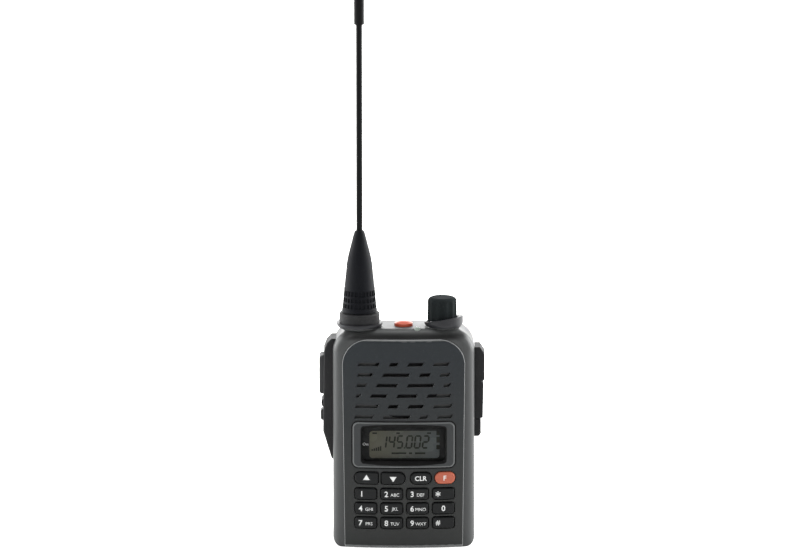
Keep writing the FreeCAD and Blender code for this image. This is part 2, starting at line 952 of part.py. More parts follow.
def roof_tools():
    """Holes through the roof for the antenna socket, the control's bush, the button and the lens."""
    foot = roof - PAST
    antenna = rod("antenna_hole", "z", antenna_spot, size.socket_radius + size.window_fit, foot,
                  seat_top + PAST)
    bush = rod("bush_hole", "z", knob_spot, size.bush_radius + size.window_fit, foot, top + PAST)
    button = rod("button_hole", "z", button_spot, size.button_radius + size.button_fit, foot, top + PAST)
    lens = rod("lens_hole", "z", (size.lens_side, -size.lens_row), size.lens_radius + size.window_fit,
               top - size.lens_length - PAST, top + PAST)
    recess = rod("flange_recess", "z", antenna_spot, size.socket_flange + size.window_fit,
                 roof - size.socket_flange_thickness - PAST, roof)
    return [antenna, bush, button, lens, recess]


def side_tools():
    """Openings in the two side walls for the plungers, the jacks and the flap's stud."""
    reach = size.plunger_radius + size.plunger_fit
    inner_left = left_side + size.case_wall + PAST
    tools = []
    for name, level in (("talk", size.talk_level), ("small", size.small_key_level)):
        tools.append(rod(f"{name}_hole", "x", (side_row, level), reach, left_side - PAST, inner_left))
    nose = size.jack_half_width + size.jack_fit
    tools.append(box("jack_opening", (inner_right - PAST, right_side + PAST),
                     (side_row - nose, side_row + nose),
                     (size.jack_low - size.jack_margin + size.jack_nose - size.jack_fit,
                      size.jack_high + size.jack_margin - size.jack_nose + size.jack_fit)))
    foot_level = (size.flap_foot + size.flap_hinge) / 2
    tools.append(rod("stud_hole", "x", (side_row, foot_level), size.stud_radius + size.window_fit,
                     inner_right - PAST, right_side + PAST))
    return tools


def boss_spots():
    return [(side, level) for side in (-boss_side, boss_side) for level in (size.boss_low, size.boss_high)]


def case_bosses():
    """Screw bosses in the corners and two posts behind the display, all standing on the front wall."""
    parts = []
    for number, (side, level) in enumerate(boss_spots(), 1):
        parts.append(tube(f"boss_{number}", "y", (side, level), size.boss_radius, size.screw_radius,
                          crown + 2 * PAST, chassis_front))
    for number, side in enumerate((-boss_side, boss_side), 1):
        parts.append(rod(f"post_{number}", "y", (side, size.post_level), size.post_radius,
                         crown + 2 * PAST, logic_front))
    return parts


def bowl(name, spot, radius, foot_radius, rim, head):
    """A round bowl that grows out of the top face."""
    foot = top - size.bowl_foot
    return turned(name, spot, [
        (0, foot),
        (foot_radius, foot),
        (radius, rim),
        (radius, head),
        (0, head),
    ], {1: size.bowl_bulge})


def knob_guard():
    """Bowl around the knob whose rim rises towards the right and the front."""
    high = top + size.guard_high
    blank = bowl("guard_bowl", guard_spot, size.guard_radius, size.guard_foot_radius, top + size.guard_rim,
                 high)
    bore = rod("guard_bore", "z", knob_spot, size.guard_bore, top, high + PAST)
    reach = size.guard_radius
    past = reach + PAST
    slope = slab("guard_slope", "y", [[(-reach, top + size.guard_low), (reach, high), (past, high),
                                       (past, high + PAST), (-past, high + PAST),
                                       (-past, top + size.guard_low)]], -past, past)
    slope.Placement = Placement(Vector(), Rotation(Vector(0, 0, -1), size.guard_turn.number))
    bind(slope, "Placement.Rotation.Angle", size.guard_turn)
    bind(slope, "Placement.Base.x", guard_spot[0])
    bind(slope, "Placement.Base.y", guard_spot[1])
    return cut("knob_guard", blank, bore, slope)


def build_front_cover():
    inward = -size.case_wall
    corner = size.shoulder_corner
    edge = size.edge_round
    outer = rounded_form("case_outer", 0, 0, top, corner, edge, foot_round=size.foot_round)
    cavity = rounded_form("case_cavity", inward, size.case_wall, roof, size.inner_corner, size.inside_round,
                          back + PAST)
    proud = size.panel_proud
    skin = rounded_form("panel_skin", proud, 0, top, corner + proud, edge + proud,
                        foot_round=size.foot_round + proud)
    half_top = size.panel_top_width / 2
    half_foot = size.panel_foot_width / 2
    shape = slab("panel_shape", "y", [[(-half_foot, -PAST), (half_foot, -PAST),
                                       (half_top, size.panel_top), (-half_top, size.panel_top)]],
                 crown - 4 * PAST, crown + 6 * PAST)
    round_edges(shape, size.panel_corner, along("y"), beyond("z", size.panel_top / 2))
    panel_blank = common("centre_panel", shape, skin)
    bezel_skin = bow_skin("bezel_skin", proud + size.bezel_proud)
    half_bezel = size.bezel_width / 2
    bezel_shape = slab("bezel_shape", "y",
                       [rectangle((-half_bezel, half_bezel),
                                  (size.display_level - size.bezel_height / 2,
                                   size.display_level + size.bezel_height / 2))],
                       crown - 4 * PAST, crown + 4 * PAST)
    round_edges(bezel_shape, size.bezel_corner, along("y"))
    bezel_blank = common("display_bezel", bezel_shape, bezel_skin)
    raised = finish_bodies({"panel_body": panel_blank, "bezel_body": bezel_blank})
    panel, bezel = raised.values()
    round_edges(panel, size.panel_edge, beyond("y", crown + 6 * PAST, -1), sharp(panel.Tip.Shape))
    round_edges(bezel, size.bezel_edge, on_bow(proud + size.bezel_proud))
    seat_ring = bowl("seat_ring", antenna_spot, size.seat_ring_radius, size.bowl_foot_radius,
                     seat_top - size.seat_ring_rim, seat_top)
    skin_parts = fuse("case_solid", outer, panel, bezel, seat_ring, knob_guard())
    base = slab("case_base", "y", [rectangle((-half_width, half_width), (0, 2 * top))], crown - 4 * PAST, back)
    round_edges(base, size.foot_corner, along("y"), beyond("z", top, -1))
    shell = cut("case_shell", common("case_rounded", skin_parts, base), cavity)
    ring_back = inner_crown + size.speaker_depth
    speaker_ring = tube("speaker_ring", "y", speaker_spot,
                        size.speaker_radius + size.speaker_fit + size.speaker_ring_wall,
                        size.speaker_radius + size.speaker_fit, crown + PAST, ring_back)
    inner = fuse("case_inner", speaker_ring, *case_bosses())
    inside_form = case_form("case_inside", inward / 2, size.case_wall / 2, top - size.case_roof / 2, corner)
    inside = common("case_inner_trimmed", inner, inside_form)
    whole = fuse("case_whole", shell, inside)
    window = fuse("window_ways", *window_tools())
    ways = group("cover_ways", *grille_slots(), window, *key_holes(), *roof_tools(), *side_tools())
    node("front_cover", cut("front_cover", whole, ways))


def build_display():
    half = size.window_width / 2
    low = size.display_level - size.window_height / 2
    high = size.display_level + size.window_height / 2
    fit = size.window_fit
    lip = size.window_lip
    lens = window_block("window_lens", -fit, window_front, window_back + LAP)
    flange = box("window_flange", (-half - lip, half + lip), (window_back, lip_back), (low - lip, high + lip))
    node("display_window", fuse("display_window", lens, flange))
    margin = size.glass_margin
    glass_half = half + size.glass_side_margin
    glass_low, glass_high = low - margin, high + margin
    node("lcd_glass", box("lcd_glass", (-glass_half, glass_half), (glass_front, glass_back),
                          (glass_low, glass_high)))
    wall = size.holder_wall
    rim_front = glass_front + size.holder_sunk
    block = box("holder_block", (-glass_half - wall, glass_half + wall), (rim_front, logic_front),
                (glass_low - wall / 2, glass_high + wall / 2))
    seat = box("holder_seat", (-glass_half - fit, glass_half + fit), (rim_front - PAST, glass_back),
               (glass_low - fit, glass_high + fit))
    hollow = box("holder_hollow", (-glass_half + wall, glass_half - wall),
                 (glass_back - LAP, logic_front + PAST), (glass_low + wall, glass_high - wall))
    node("lcd_holder", cut("lcd_holder", block, seat, hollow))


def build_speaker():
    spot = speaker_spot
    radius = size.speaker_radius
    front_grow = -size.case_wall
    back_grow = front_grow - size.mesh_thickness
    mesh_front = bow_skin("mesh_front", front_grow)
    mesh_back = rod("mesh_back", "z", (0, size.case_bow - size.case_front), size.case_bow + back_grow,
                    -2 * PAST, top + 5 * PAST)
    mesh_area = rod("mesh_area", "y", spot, radius, crown, inner_crown + 3 * PAST)
    node("speaker_mesh", common("speaker_mesh", mesh_area, cut("mesh_sheet", mesh_front, mesh_back)))
    rim_front = bow_depth(radius, back_grow) + size.mesh_gap
    rim_back = rim_front + size.speaker_rim
    frame_back = rim_front + size.speaker_depth
    rim = rod("speaker_rim", "y", spot, radius, rim_front, rim_back)
    basket = cone("speaker_basket", "y", spot, radius - size.basket_lip,
                  size.magnet_radius + size.basket_foot, rim_back, frame_back)
    floor = frame_back - size.basket_floor
    hollow = cone("speaker_hollow", "y", spot, size.cone_mouth, size.cone_throat, rim_front, floor)
    node("speaker_frame", cut("speaker_frame", fuse("speaker_body", rim, basket), hollow))
    mouth = size.cone_mouth - size.cone_clear
    throat = size.cone_throat - size.cone_clear
    sheets = []
    for side, shift in (("outer", 0), ("inner", -size.cone_paper)):
        sheets.append(cone(f"paper_{side}", "y", spot, mouth, throat, rim_front + size.cone_sunk + shift,
                           floor - size.board_gap + shift))
    node("speaker_cone", cut("speaker_cone", *sheets))
    node("speaker_magnet", rod("speaker_magnet", "y", spot, size.magnet_radius, frame_back,
                               main_front - size.board_gap))


def build_boards():
    half = size.logic_board_half
    board = box("logic_blank", (-half, half), (logic_front, logic_back),
                (size.logic_board_foot, size.logic_board_top))
    holes = []
    for number, spot in enumerate(boss_spots(), 1):
        holes.append(rod(f"board_hole_{number}", "y", spot, size.boss_radius + size.boss_clear,
                         logic_front - PAST, logic_back + PAST))
    node("logic_board", cut("logic_board", board, *holes))
    half = size.main_board_half
    node("main_board", box("main_board", (-half, half), (main_front, main_back),
                           (size.main_board_foot, size.main_board_top)))
    keys = key_layout()
    margin = size.mat_margin
    (left, _), (_, high) = key_sides(keys[0], margin)
    (_, right), (low, _) = key_sides(keys[-1], margin)
    mat = [box("mat_sheet", (left, right), (mat_face, logic_front), (low, high))]
    for key in keys:
        mat.append(rod(f"{key.name}_nub", "y", (key.middle, key.level), key.height / 2 - size.mat_nub_inset,
                       nub_face, mat_face + LAP))
    node("keypad_mat", fuse("keypad_mat", *mat))


def hook_sides(side, grow):
    """Bounds of one of the pack's two hooks on the X axis; side is -1 or 1."""
    middle = size.hook_side * side
    return middle - size.hook_width / 2 - grow, middle + size.hook_width / 2 + grow


def hook_levels(grow):
    return size.hook_level - grow, size.hook_level + size.hook_height + grow


def build_chassis():
    fit = size.chassis_fit
    half = half_width - size.case_wall - fit
    plate = slab("chassis_plate", "y", [rectangle((-half, half), (size.case_wall + fit, roof - fit))],
                 chassis_front, back)
    round_edges(plate, size.chassis_corner, along("y"), beyond("z", roof / 2, -1))
    round_edges(plate, size.inner_corner - fit, along("y"), beyond("z", roof / 2))
    solids = [plate]
    for side in (-1, 1):
        for level in ("low", "high"):
            spot = (size.standoff_side * side, getattr(size, f"standoff_{level}"))
            solids.append(rod(f"standoff_{level}", "y", spot, size.standoff_radius, main_back,
                              chassis_front + LAP))
        solids.append(box("hook", hook_sides(side, 0), (back - LAP, back + size.hook_reach), hook_levels(0)))
    ledge_top = size.ledge_low + size.ledge_height
    solids.append(box("ledge", (-size.ledge_half, size.ledge_half), (back - LAP, size.ledge_back),
                      (size.ledge_low, ledge_top)))
    head_front = back - size.screw_head
    tools = []
    for spot in boss_spots():
        tools.append(rod("screw_way", "y", spot, size.screw_radius, chassis_front - PAST, back + PAST))
        tools.append(rod("screw_seat", "y", spot, size.screw_head_radius + size.screw_head_fit, head_front,
                         back + PAST))
    for step in PIN_STEPS:
        tools.append(rod("pin_way", "y", (size.pin_pitch * step, size.pin_level),
                         size.pin_radius + size.pin_fit, chassis_front - PAST, back + PAST))
    gap = size.tooth_fit
    tools.append(box("tooth_way", (-size.tooth_half - gap, size.tooth_half + gap),
                     (size.catch_front - gap, size.catch_front + size.tooth_depth + gap),
                     (size.ledge_low - PAST, ledge_top + PAST)))
    node("rear_chassis", cut("rear_chassis", fuse("chassis_solid", *solids), *tools))


def build_screws():
    head_front = back - size.screw_head
    reach = size.screw_slot_half
    wide = size.screw_slot / 2
    screws = []
    for side, level in boss_spots():
        head = rod("screw_head", "y", (side, level), size.screw_head_radius, head_front, back)
        shank = rod("screw_shank", "y", (side, level), size.screw_radius, head_front - size.screw_length,
                    head_front + LAP)
        slots = []
        for across, up in ((reach, wide), (wide, reach)):
            slots.append(box("screw_slot", (side - across, side + across),
                             (back - size.screw_slot_depth, back + PAST), (level - up, level + up)))
        screws.append(cut("screw", fuse("screw_solid", head, shank), *slots))
    node("case_screws", group("case_screws", *screws))


def build_contacts():
    pins = [rod("contact", "y", (size.pin_pitch * step, size.pin_level), size.pin_radius, main_back,
                pack_front) for step in PIN_STEPS]
    node("spring_contacts", group("spring_contacts", *pins))


# Top face: antenna, volume control, call button and status lens

def build_socket():
    spot = antenna_spot
    flange_foot = roof - size.socket_flange_thickness
    flange = rod("socket_flange", "z", spot, size.socket_flange, flange_foot, roof)
    barrel = rod("socket_barrel", "z", spot, size.socket_radius, roof - LAP, collar_top)
    stem = rod("socket_stem", "z", spot, size.socket_stem, roof - size.socket_depth, flange_foot + LAP)
    bore = rod("socket_bore", "z", spot, size.thread_radius,
               collar_top - size.thread_length - size.thread_spare, collar_top + PAST)
    node("antenna_socket", cut("antenna_socket", fuse("socket_solid", flange, barrel, stem), bore))
    collar = turned("antenna_collar", spot, [
        (size.socket_radius, seat_top),
        (size.collar_radius, seat_top),
        (size.collar_radius, collar_top - size.collar_edge),
        (size.collar_radius - size.collar_edge, collar_top),
        (size.socket_radius, collar_top),
    ], {2: size.collar_edge})
    node("antenna_collar", collar)
    node("antenna_seal", tube("antenna_seal", "z", spot, size.seal_radius,
                              size.thread_radius + size.thread_fit, collar_top, boot_foot))


def build_antenna():
    spot = antenna_spot
    band_top = boot_foot + size.boot_band_height
    whip_foot = boot_foot + size.boot_band_height / 2
    whip_top = whip_foot + size.whip_length
    thread = rod("plug_thread", "z", spot, size.thread_radius - size.thread_fit,
                 collar_top - size.thread_length, boot_foot + LAP)
    head = rod("plug_head", "z", spot, size.plug_radius, boot_foot, band_top)
    way = rod("whip_way", "z", spot, size.whip_radius, whip_foot, band_top + PAST)
    node("antenna_connector", cut("antenna_connector", fuse("plug_solid", thread, head), way))
    boot_top = boot_foot + size.boot_height
    blank = turned("boot_blank", spot, [
        (0, boot_foot),
        (size.boot_foot_radius, boot_foot),
        (size.boot_foot_radius, boot_foot + size.boot_rim),
        (size.boot_band_radius, band_top),
        (size.boot_mid_radius, boot_foot + size.boot_mid_height),
        (size.boot_tip_radius, boot_top),
        (0, boot_top),
    ], {4: size.boot_bulge})
    head_way = rod("plug_way", "z", spot, size.plug_radius, boot_foot - PAST, band_top)
    whip_way = rod("boot_whip_way", "z", spot, size.whip_radius, band_top - PAST, boot_top + PAST)
    node("antenna_boot", cut("antenna_boot", blank, head_way, whip_way))
    node("antenna_whip", rod("antenna_whip", "z", spot, size.whip_radius, whip_foot, whip_top))
    tip_foot = whip_top - size.tip_overlap
    tip_top = tip_foot + size.tip_length
    tip = turned("tip_blank", spot, [
        (0, tip_foot),
        (size.tip_radius, tip_foot),
        (size.tip_radius, tip_top),
        (0, tip_top),
    ])
    round_edges(tip, size.tip_round, at("z", tip_top))
    tip_way = rod("tip_way", "z", spot, size.whip_radius, tip_foot - PAST, whip_top)
    node("antenna_tip", cut("antenna_tip", tip, tip_way))


def build_knob():
    body = doc.addObject("PartDesign::Body", "knob_body")
    blank = body.newObject("PartDesign::AdditiveCone", "knob_blank")
    blank.AttachmentSupport = [(origin_part(body, "XY_Plane"), "")]
    blank.MapMode = "FlatFace"
    bind(blank, "Radius1", size.knob_radius)
    bind(blank, "Radius2", size.knob_top_radius)
    bind(blank, "Height", size.knob_height)
    doc.recompute()
    round_edges(body, size.knob_round, at("z", size.knob_height))
    facet = body.newObject("PartDesign::SubtractiveCone", "knob_facet")
    facet.AttachmentSupport = [(origin_part(body, "XY_Plane"), "")]
    facet.MapMode = "FlatFace"
    bind(facet, "AttachmentOffset.Base.x", size.knob_radius + size.knob_facet_offset)
    bind(facet, "Radius1", size.knob_facet)
    bind(facet, "Radius2", size.knob_facet_top)
    bind(facet, "Height", size.knob_height)
    doc.recompute()
    pattern = body.newObject("PartDesign::PolarPattern", "knob_facets")
    pattern.Originals = [facet]
    pattern.Axis = (origin_part(body, "Z_Axis"), [""])
    pattern.Angle = 360
    bind(pattern, "Occurrences", size.knob_facets)
    body.Tip = pattern
    bind(body, "Placement.Base.x", knob_spot[0])
    bind(body, "Placement.Base.y", knob_spot[1])
    bind(body, "Placement.Base.z", knob_foot)
    doc.recompute()
    return body


def build_volume():
    spot = knob_spot
    shaft_top = knob_foot + size.knob_height - size.knob_cap
    shaft_foot = roof - size.control_height / 2
    shaft_way = rod("shaft_way", "z", spot, size.shaft_radius, knob_foot - PAST, shaft_top)
    node("volume_knob", cut("volume_knob", build_knob(), shaft_way))
    node("volume_shaft", rod("volume_shaft", "z", spot, size.shaft_radius, shaft_foot, shaft_top))
    half = size.control_width / 2
    bush_top = nut_top + size.bush_proud
    case = box("control_case", (spot[0] - half, spot[0] + half),
               (-size.control_front, main_front - size.board_gap), (roof - size.control_height, roof))
    bush = rod("control_bush", "z", spot, size.bush_radius, roof - LAP, bush_top)
    bore = rod("control_bore", "z", spot, size.shaft_radius + size.shaft_fit, shaft_foot - size.push_gap,
               bush_top + PAST)
    node("volume_control", cut("volume_control", fuse("control_solid", case, bush), bore))
    node("volume_nut", tube("volume_nut", "z", spot, size.nut_radius, size.bush_radius, top, nut_top))


def build_call_button():
    spot = button_spot
    button_top = top + size.button_proud
    flange_top = roof - size.key_flange_gap
    flange_foot = flange_top - size.button_flange_thickness
    stem_foot = flange_foot - size.button_stem_length
    rise = size.button_proud - size.button_rim
    dome = (size.button_radius * size.button_radius + rise * rise) / (rise * 2)
    body = turned("call_button", spot, [
        (0, stem_foot),
        (size.button_stem, stem_foot),
        (size.button_stem, flange_foot),
        (size.button_flange, flange_foot),
        (size.button_flange, flange_top),
        (size.button_radius, flange_top),
        (size.button_radius, top + size.button_rim),
        (0, button_top),
    ], {6: dome})
    node("call_button", body)
    nub_top = stem_foot - size.button_travel - size.push_gap
    case_top = nub_top - size.switch_nub
    half = size.switch_width / 2
    case = box("call_switch_case", (-half, half), (spot[1] - half, main_front),
               (case_top - size.switch_height, case_top))
    nub = rod("call_switch_nub", "z", spot, size.button_stem, case_top - LAP, nub_top)
    node("call_switch", fuse("call_switch", case, nub))


def build_status_lens():
    pipe = rod("lens_pipe", "z", (size.lens_side, -size.lens_row), size.lens_radius,
               top - size.lens_length, top + size.lens_proud - size.lens_radius)
    spot = (size.lens_side, -size.lens_row)
    dome = doc.addObject("Part::Sphere", "lens_dome")
    bind(dome, "Radius", size.lens_radius)
    place(dome, "z", spot, top + size.lens_proud - size.lens_radius)
    node("status_lens", fuse("status_lens", pipe, dome))


# Left side: strip, talk key, small key and their switches

def side_keys():
    """Places, sizes and faces on the X axis of the two side keys."""
    flange_inner = left_side - size.side_key_travel - size.side_key_gap
    keys = []
    for name, kind in (("talk_key", "talk"), ("monitor_key", "small_key")):
        proud = getattr(size, f"{kind}_proud")
        keys.append(SimpleNamespace(
            name=name, proud=proud, level=getattr(size, f"{kind}_level"),
            width=getattr(size, f"{kind}_width"), height=getattr(size, f"{kind}_length"),
            middle=side_row, outer=left_side - size.strip_bulge - proud, flange_inner=flange_inner,
            flange_outer=flange_inner - size.side_key_flange_thickness))
    return keys


def build_side_panel():
    bulge = left_side - size.strip_bulge
    front, rear = -size.strip_front, size.strip_back
    body = slab("strip_blank", "y", [[
        (left_side + size.strip_under, size.strip_tail),
        (left_side + size.strip_under, size.strip_top),
        (left_side - size.strip_shoulder, size.strip_top),
        (left_side - size.strip_head_step, size.strip_top - size.strip_head_drop),
        (bulge, size.strip_head),
        (bulge - size.strip_knee_step, size.strip_knee),
        (left_side - size.strip_rim, size.strip_tail + size.strip_tail_rise),
    ]], front, rear)
    round_edges(body, size.strip_rim, at("y", front), beyond("x", left_side, -1))
    radius = size.ridge_radius
    ridge = rod("strip_ridge", "y", (bulge + size.ridge_sunk, size.ridge_level), radius,
                front + PAST, rear - PAST)
    trim = box("ridge_trim", (bulge - radius, left_side - size.strip_rim), (front, rear),
               (size.ridge_level - radius, size.ridge_level + radius))
    tools = []
    for key in side_keys():
        fit = size.side_key_fit
        tools.append(box("side_window", (key.outer - PAST, left_side + PAST), *key_sides(key, fit)))
        tools.append(box("side_recess", (key.flange_outer - size.key_flange_gap, left_side + PAST),
                         *key_sides(key, fit + size.side_key_flange)))
    solid = fuse("strip_solid", body, common("strip_ridge_trimmed", ridge, trim))
    tools.append(rounded_form("strip_under_form", 0, 0, top, size.shoulder_corner, size.edge_round))
    node("side_panel", cut("side_panel", solid, *tools))


def build_side_keys():
    lap_gap = size.plunger_length + size.side_key_travel + size.push_gap
    half = size.side_switch_size / 2
    pieces = []
    for key in side_keys():
        across, up = key_sides(key, 0)
        paddle = slab(f"{key.name}_paddle", "x", [rectangle(across, up)], key.outer, key.flange_inner)
        round_edges(paddle, key.proud * size.side_key_end_round, at("x", key.outer), along("y"))
        round_edges(paddle, key.proud * size.side_key_edge_round, beyond("x", key.flange_outer, -1),
                    in_one_plane("y"))
        flange = box(f"{key.name}_flange", (key.flange_outer, key.flange_inner),
                     *key_sides(key, size.side_key_flange))
        spot = (key.middle, key.level)
        plunger = rod(f"{key.name}_plunger", "x", spot, size.plunger_radius, key.flange_inner - LAP,
                      key.flange_inner + size.plunger_length)
        node(key.name, fuse(key.name, paddle, flange, plunger))
        switch_front = key.flange_inner + lap_gap
        board_front = switch_front + size.side_switch_depth
        pieces.append(box(f"{key.name}_switch", (switch_front + size.switch_nub, board_front + LAP),
                          (key.middle - half, key.middle + half), (key.level - half, key.level + half)))
        pieces.append(rod(f"{key.name}_nub", "x", spot, size.plunger_radius, switch_front,
                          switch_front + size.switch_nub + LAP))
    pieces.append(box("side_board", (board_front, board_front + size.board_thickness),
                      (side_row - half - size.side_board_margin, chassis_front),
                      (size.small_key_level - size.side_switch_size,
                       size.talk_level + size.side_switch_size)))
    node("side_switches", fuse("side_switches", *pieces))


# Right side: flap over the jacks, its foot and the jack block

JACKS = ("big", "small")


def jack_spot(kind):
    level = size.jack_high if kind == "big" else size.jack_low
    return side_row, level


def flap_piece(name, points):
    """An outline of the right side's rubber, padded between its front and its back and rounded there."""
    front, rear = -size.flap_front, size.flap_back
    body = slab(name, "y", [points], front, rear)
    for level in (front, rear):
        round_edges(body, size.flap_edge, at("y", level), beyond("x", right_side + size.flap_lift))
    return body


def build_jack_cover():
    outer = right_side + size.flap_thickness
    inner = right_side + size.flap_lift
    foot = size.flap_hinge + size.flap_gap
    groove = size.groove_depth
    waist = outer - size.flap_waist
    body = flap_piece("flap_body", [
        (inner, foot),
        (outer - size.flap_bevel, foot),
        (waist, size.flap_groove - groove),
        (waist - groove, size.flap_groove),
        (outer, size.flap_groove + groove),
        (outer, size.flap_top - size.flap_head_drop),
        (outer - size.flap_head_step, size.flap_top),
        (inner, size.flap_top),
    ])
    plugs = [rod(f"{kind}_plug", "x", jack_spot(kind), getattr(size, f"jack_{kind}_radius") - size.plug_fit,
                 right_side - size.plug_length, inner + LAP) for kind in JACKS]
    node("jack_cover", fuse("jack_cover", body, *plugs))


def build_jack_anchor():
    outer = right_side + size.foot_thickness
    foot = flap_piece("foot_body", [
        (right_side, size.flap_foot),
        (outer - size.foot_bevel, size.flap_foot),
        (outer, size.flap_foot + size.foot_bevel_rise),
        (outer, size.flap_hinge - size.flap_gap),
        (right_side, size.flap_hinge - size.flap_gap),
    ])
    spot = (side_row, (size.flap_foot + size.flap_hinge) / 2)
    stud = rod("foot_stud", "x", spot, size.stud_radius, inner_right - LAP, right_side + LAP)
    head = rod("foot_head", "x", spot, size.stud_head_radius, inner_right - size.stud_head, inner_right)
    node("jack_anchor", fuse("jack_anchor", foot, stud, head))


def build_jack_block():
    low = size.jack_low - size.jack_margin
    high = size.jack_high + size.jack_margin
    front = side_row - size.jack_half_width
    case_outer = inner_right - size.board_gap
    case = box("jack_case", (right_side - size.jack_inset, case_outer), (front - PAST, main_front),
               (low, high))
    nose = box("jack_nose", (case_outer - LAP, right_side - size.jack_sunk), (front, main_front),
               (low + size.jack_nose, high - size.jack_nose))
    bores = [rod(f"{kind}_jack", "x", jack_spot(kind), getattr(size, f"jack_{kind}_radius"),
                 right_side - size.jack_bore, right_side + PAST) for kind in JACKS]
    node("jack_block", cut("jack_block", fuse("jack_solid", case, nose), *bores))


# Battery pack, catch and belt clip

def build_pack():
    height = size.pack_height
    wall = size.pack_wall
    inner_half = pack_half - wall
    blank = slab("pack_blank", "z", [rectangle((-pack_half, pack_half), (pack_front, size.pack_back))],
                 0, height)
    round_edges(blank, size.pack_corner, along("z"), beyond("y", (pack_front + size.pack_back) / 2))
    for level in (height, 0):
        round_edges(blank, size.pack_round, at("z", level), beyond("y", pack_front))
    head_foot = height - size.pack_head
    cells_room = box("cells_room", (-inner_half, inner_half), (pack_front - PAST, size.pack_back - wall),
                     (wall, head_foot))
    lid_seat = box("lid_seat", (-inner_half, inner_half), (pack_front - PAST, lid_back),
                   (wall, height - wall))
    fit = size.catch_fit
    catch_sides = (-size.catch_half - fit, size.catch_half + fit)
    catch_room = box("catch_room", catch_sides, (lid_back - PAST, size.catch_back + fit),
                     (size.catch_foot - size.catch_travel - fit, height + PAST))
    spring_way = rod("spring_way", "z", catch_spring_spot, size.spring_radius + size.spring_wire + fit,
                     size.spring_seat, size.catch_foot)
    mouth = box("catch_mouth", catch_sides, (pack_front - PAST, lid_back + PAST),
                (size.catch_shoulder - PAST, height + PAST))
    node("battery_case", cut("battery_case", blank, cells_room, lid_seat, catch_room, spring_way, mouth))
    seat = size.lid_fit
    lid = box("lid_blank", (-inner_half + seat, inner_half - seat), (pack_front, lid_back),
              (wall + seat, height - wall - seat))
    tools = [mouth]
    for side in (-1, 1):
        tools.append(box("hook_way", hook_sides(side, size.hook_fit), (pack_front - PAST, lid_back + PAST),
                         hook_levels(size.hook_fit)))
    node("battery_lid", cut("battery_lid", lid, *tools))
    cells = []
    room = size.cell_gap
    half = inner_half / 2 - room / 2
    for side in (-1, 1):
        middle = inner_half / 2 * side
        cell = slab("cell", "z",
                    [rectangle((middle - half, middle + half), (lid_back + room, size.pack_back - wall))],
                    size.cell_foot, head_foot - room)
        cells.append(round_edges(cell, size.cell_corner, along("z")))
    node("battery_cells", group("battery_cells", *cells))


def build_catch():
    half = size.catch_half
    front, rear = size.catch_front, size.catch_back
    shoulder = size.catch_shoulder
    thumb_front = rear - size.thumb_depth
    body = box("catch_body", (-half, half), (front, rear), (size.catch_foot, shoulder))
    thumb = slab("catch_thumb", "x", [[
        (thumb_front, shoulder - LAP),
        (rear, shoulder - LAP),
        (rear, size.catch_thumb - size.thumb_bevel),
        (rear - size.thumb_bevel, size.catch_thumb),
        (thumb_front, size.catch_thumb),
    ]], -half, half)
    tooth = box("catch_tooth", (-size.tooth_half, size.tooth_half), (front, front + size.tooth_depth),
                (shoulder - LAP, size.tooth_top))
    node("battery_latch", fuse("battery_latch", body, thumb, tooth))
    node("latch_spring", coil("latch_spring", "z", catch_spring_spot, size.spring_radius, size.spring_wire,
                              size.spring_pitch, size.spring_seat, size.catch_foot))


def coil(name, axis, across, radius, wire, pitch, low, high):
    """A round wire swept along a helix between two levels."""
    path = doc.addObject("Part::Helix", f"{name}_path")
    bind(path, "Radius", radius)
    bind(path, "Pitch", pitch)
    bind(path, "Height", as_size(high) - low - wire * 2 * COIL_END)
    ring = doc.addObject("Part::Circle", f"{name}_ring")
    ring.Placement = Placement(Vector(radius.number, 0, 0), Rotation(Vector(1, 0, 0), 90))
    bind(ring, "Placement.Base.x", radius)
    bind(ring, "Radius", wire)
    doc.recompute()
    sweep = doc.addObject("Part::Sweep", f"{name}_sweep")
    sweep.Sections = [ring]
    sweep.Spine = (path, ["Edge1"])
    sweep.Solid = True
    sweep.Frenet = True
    holder = doc.addObject("Part::Compound", name)
    holder.Links = [sweep]
    return place(holder, axis, across, as_size(low) + wire * COIL_END)


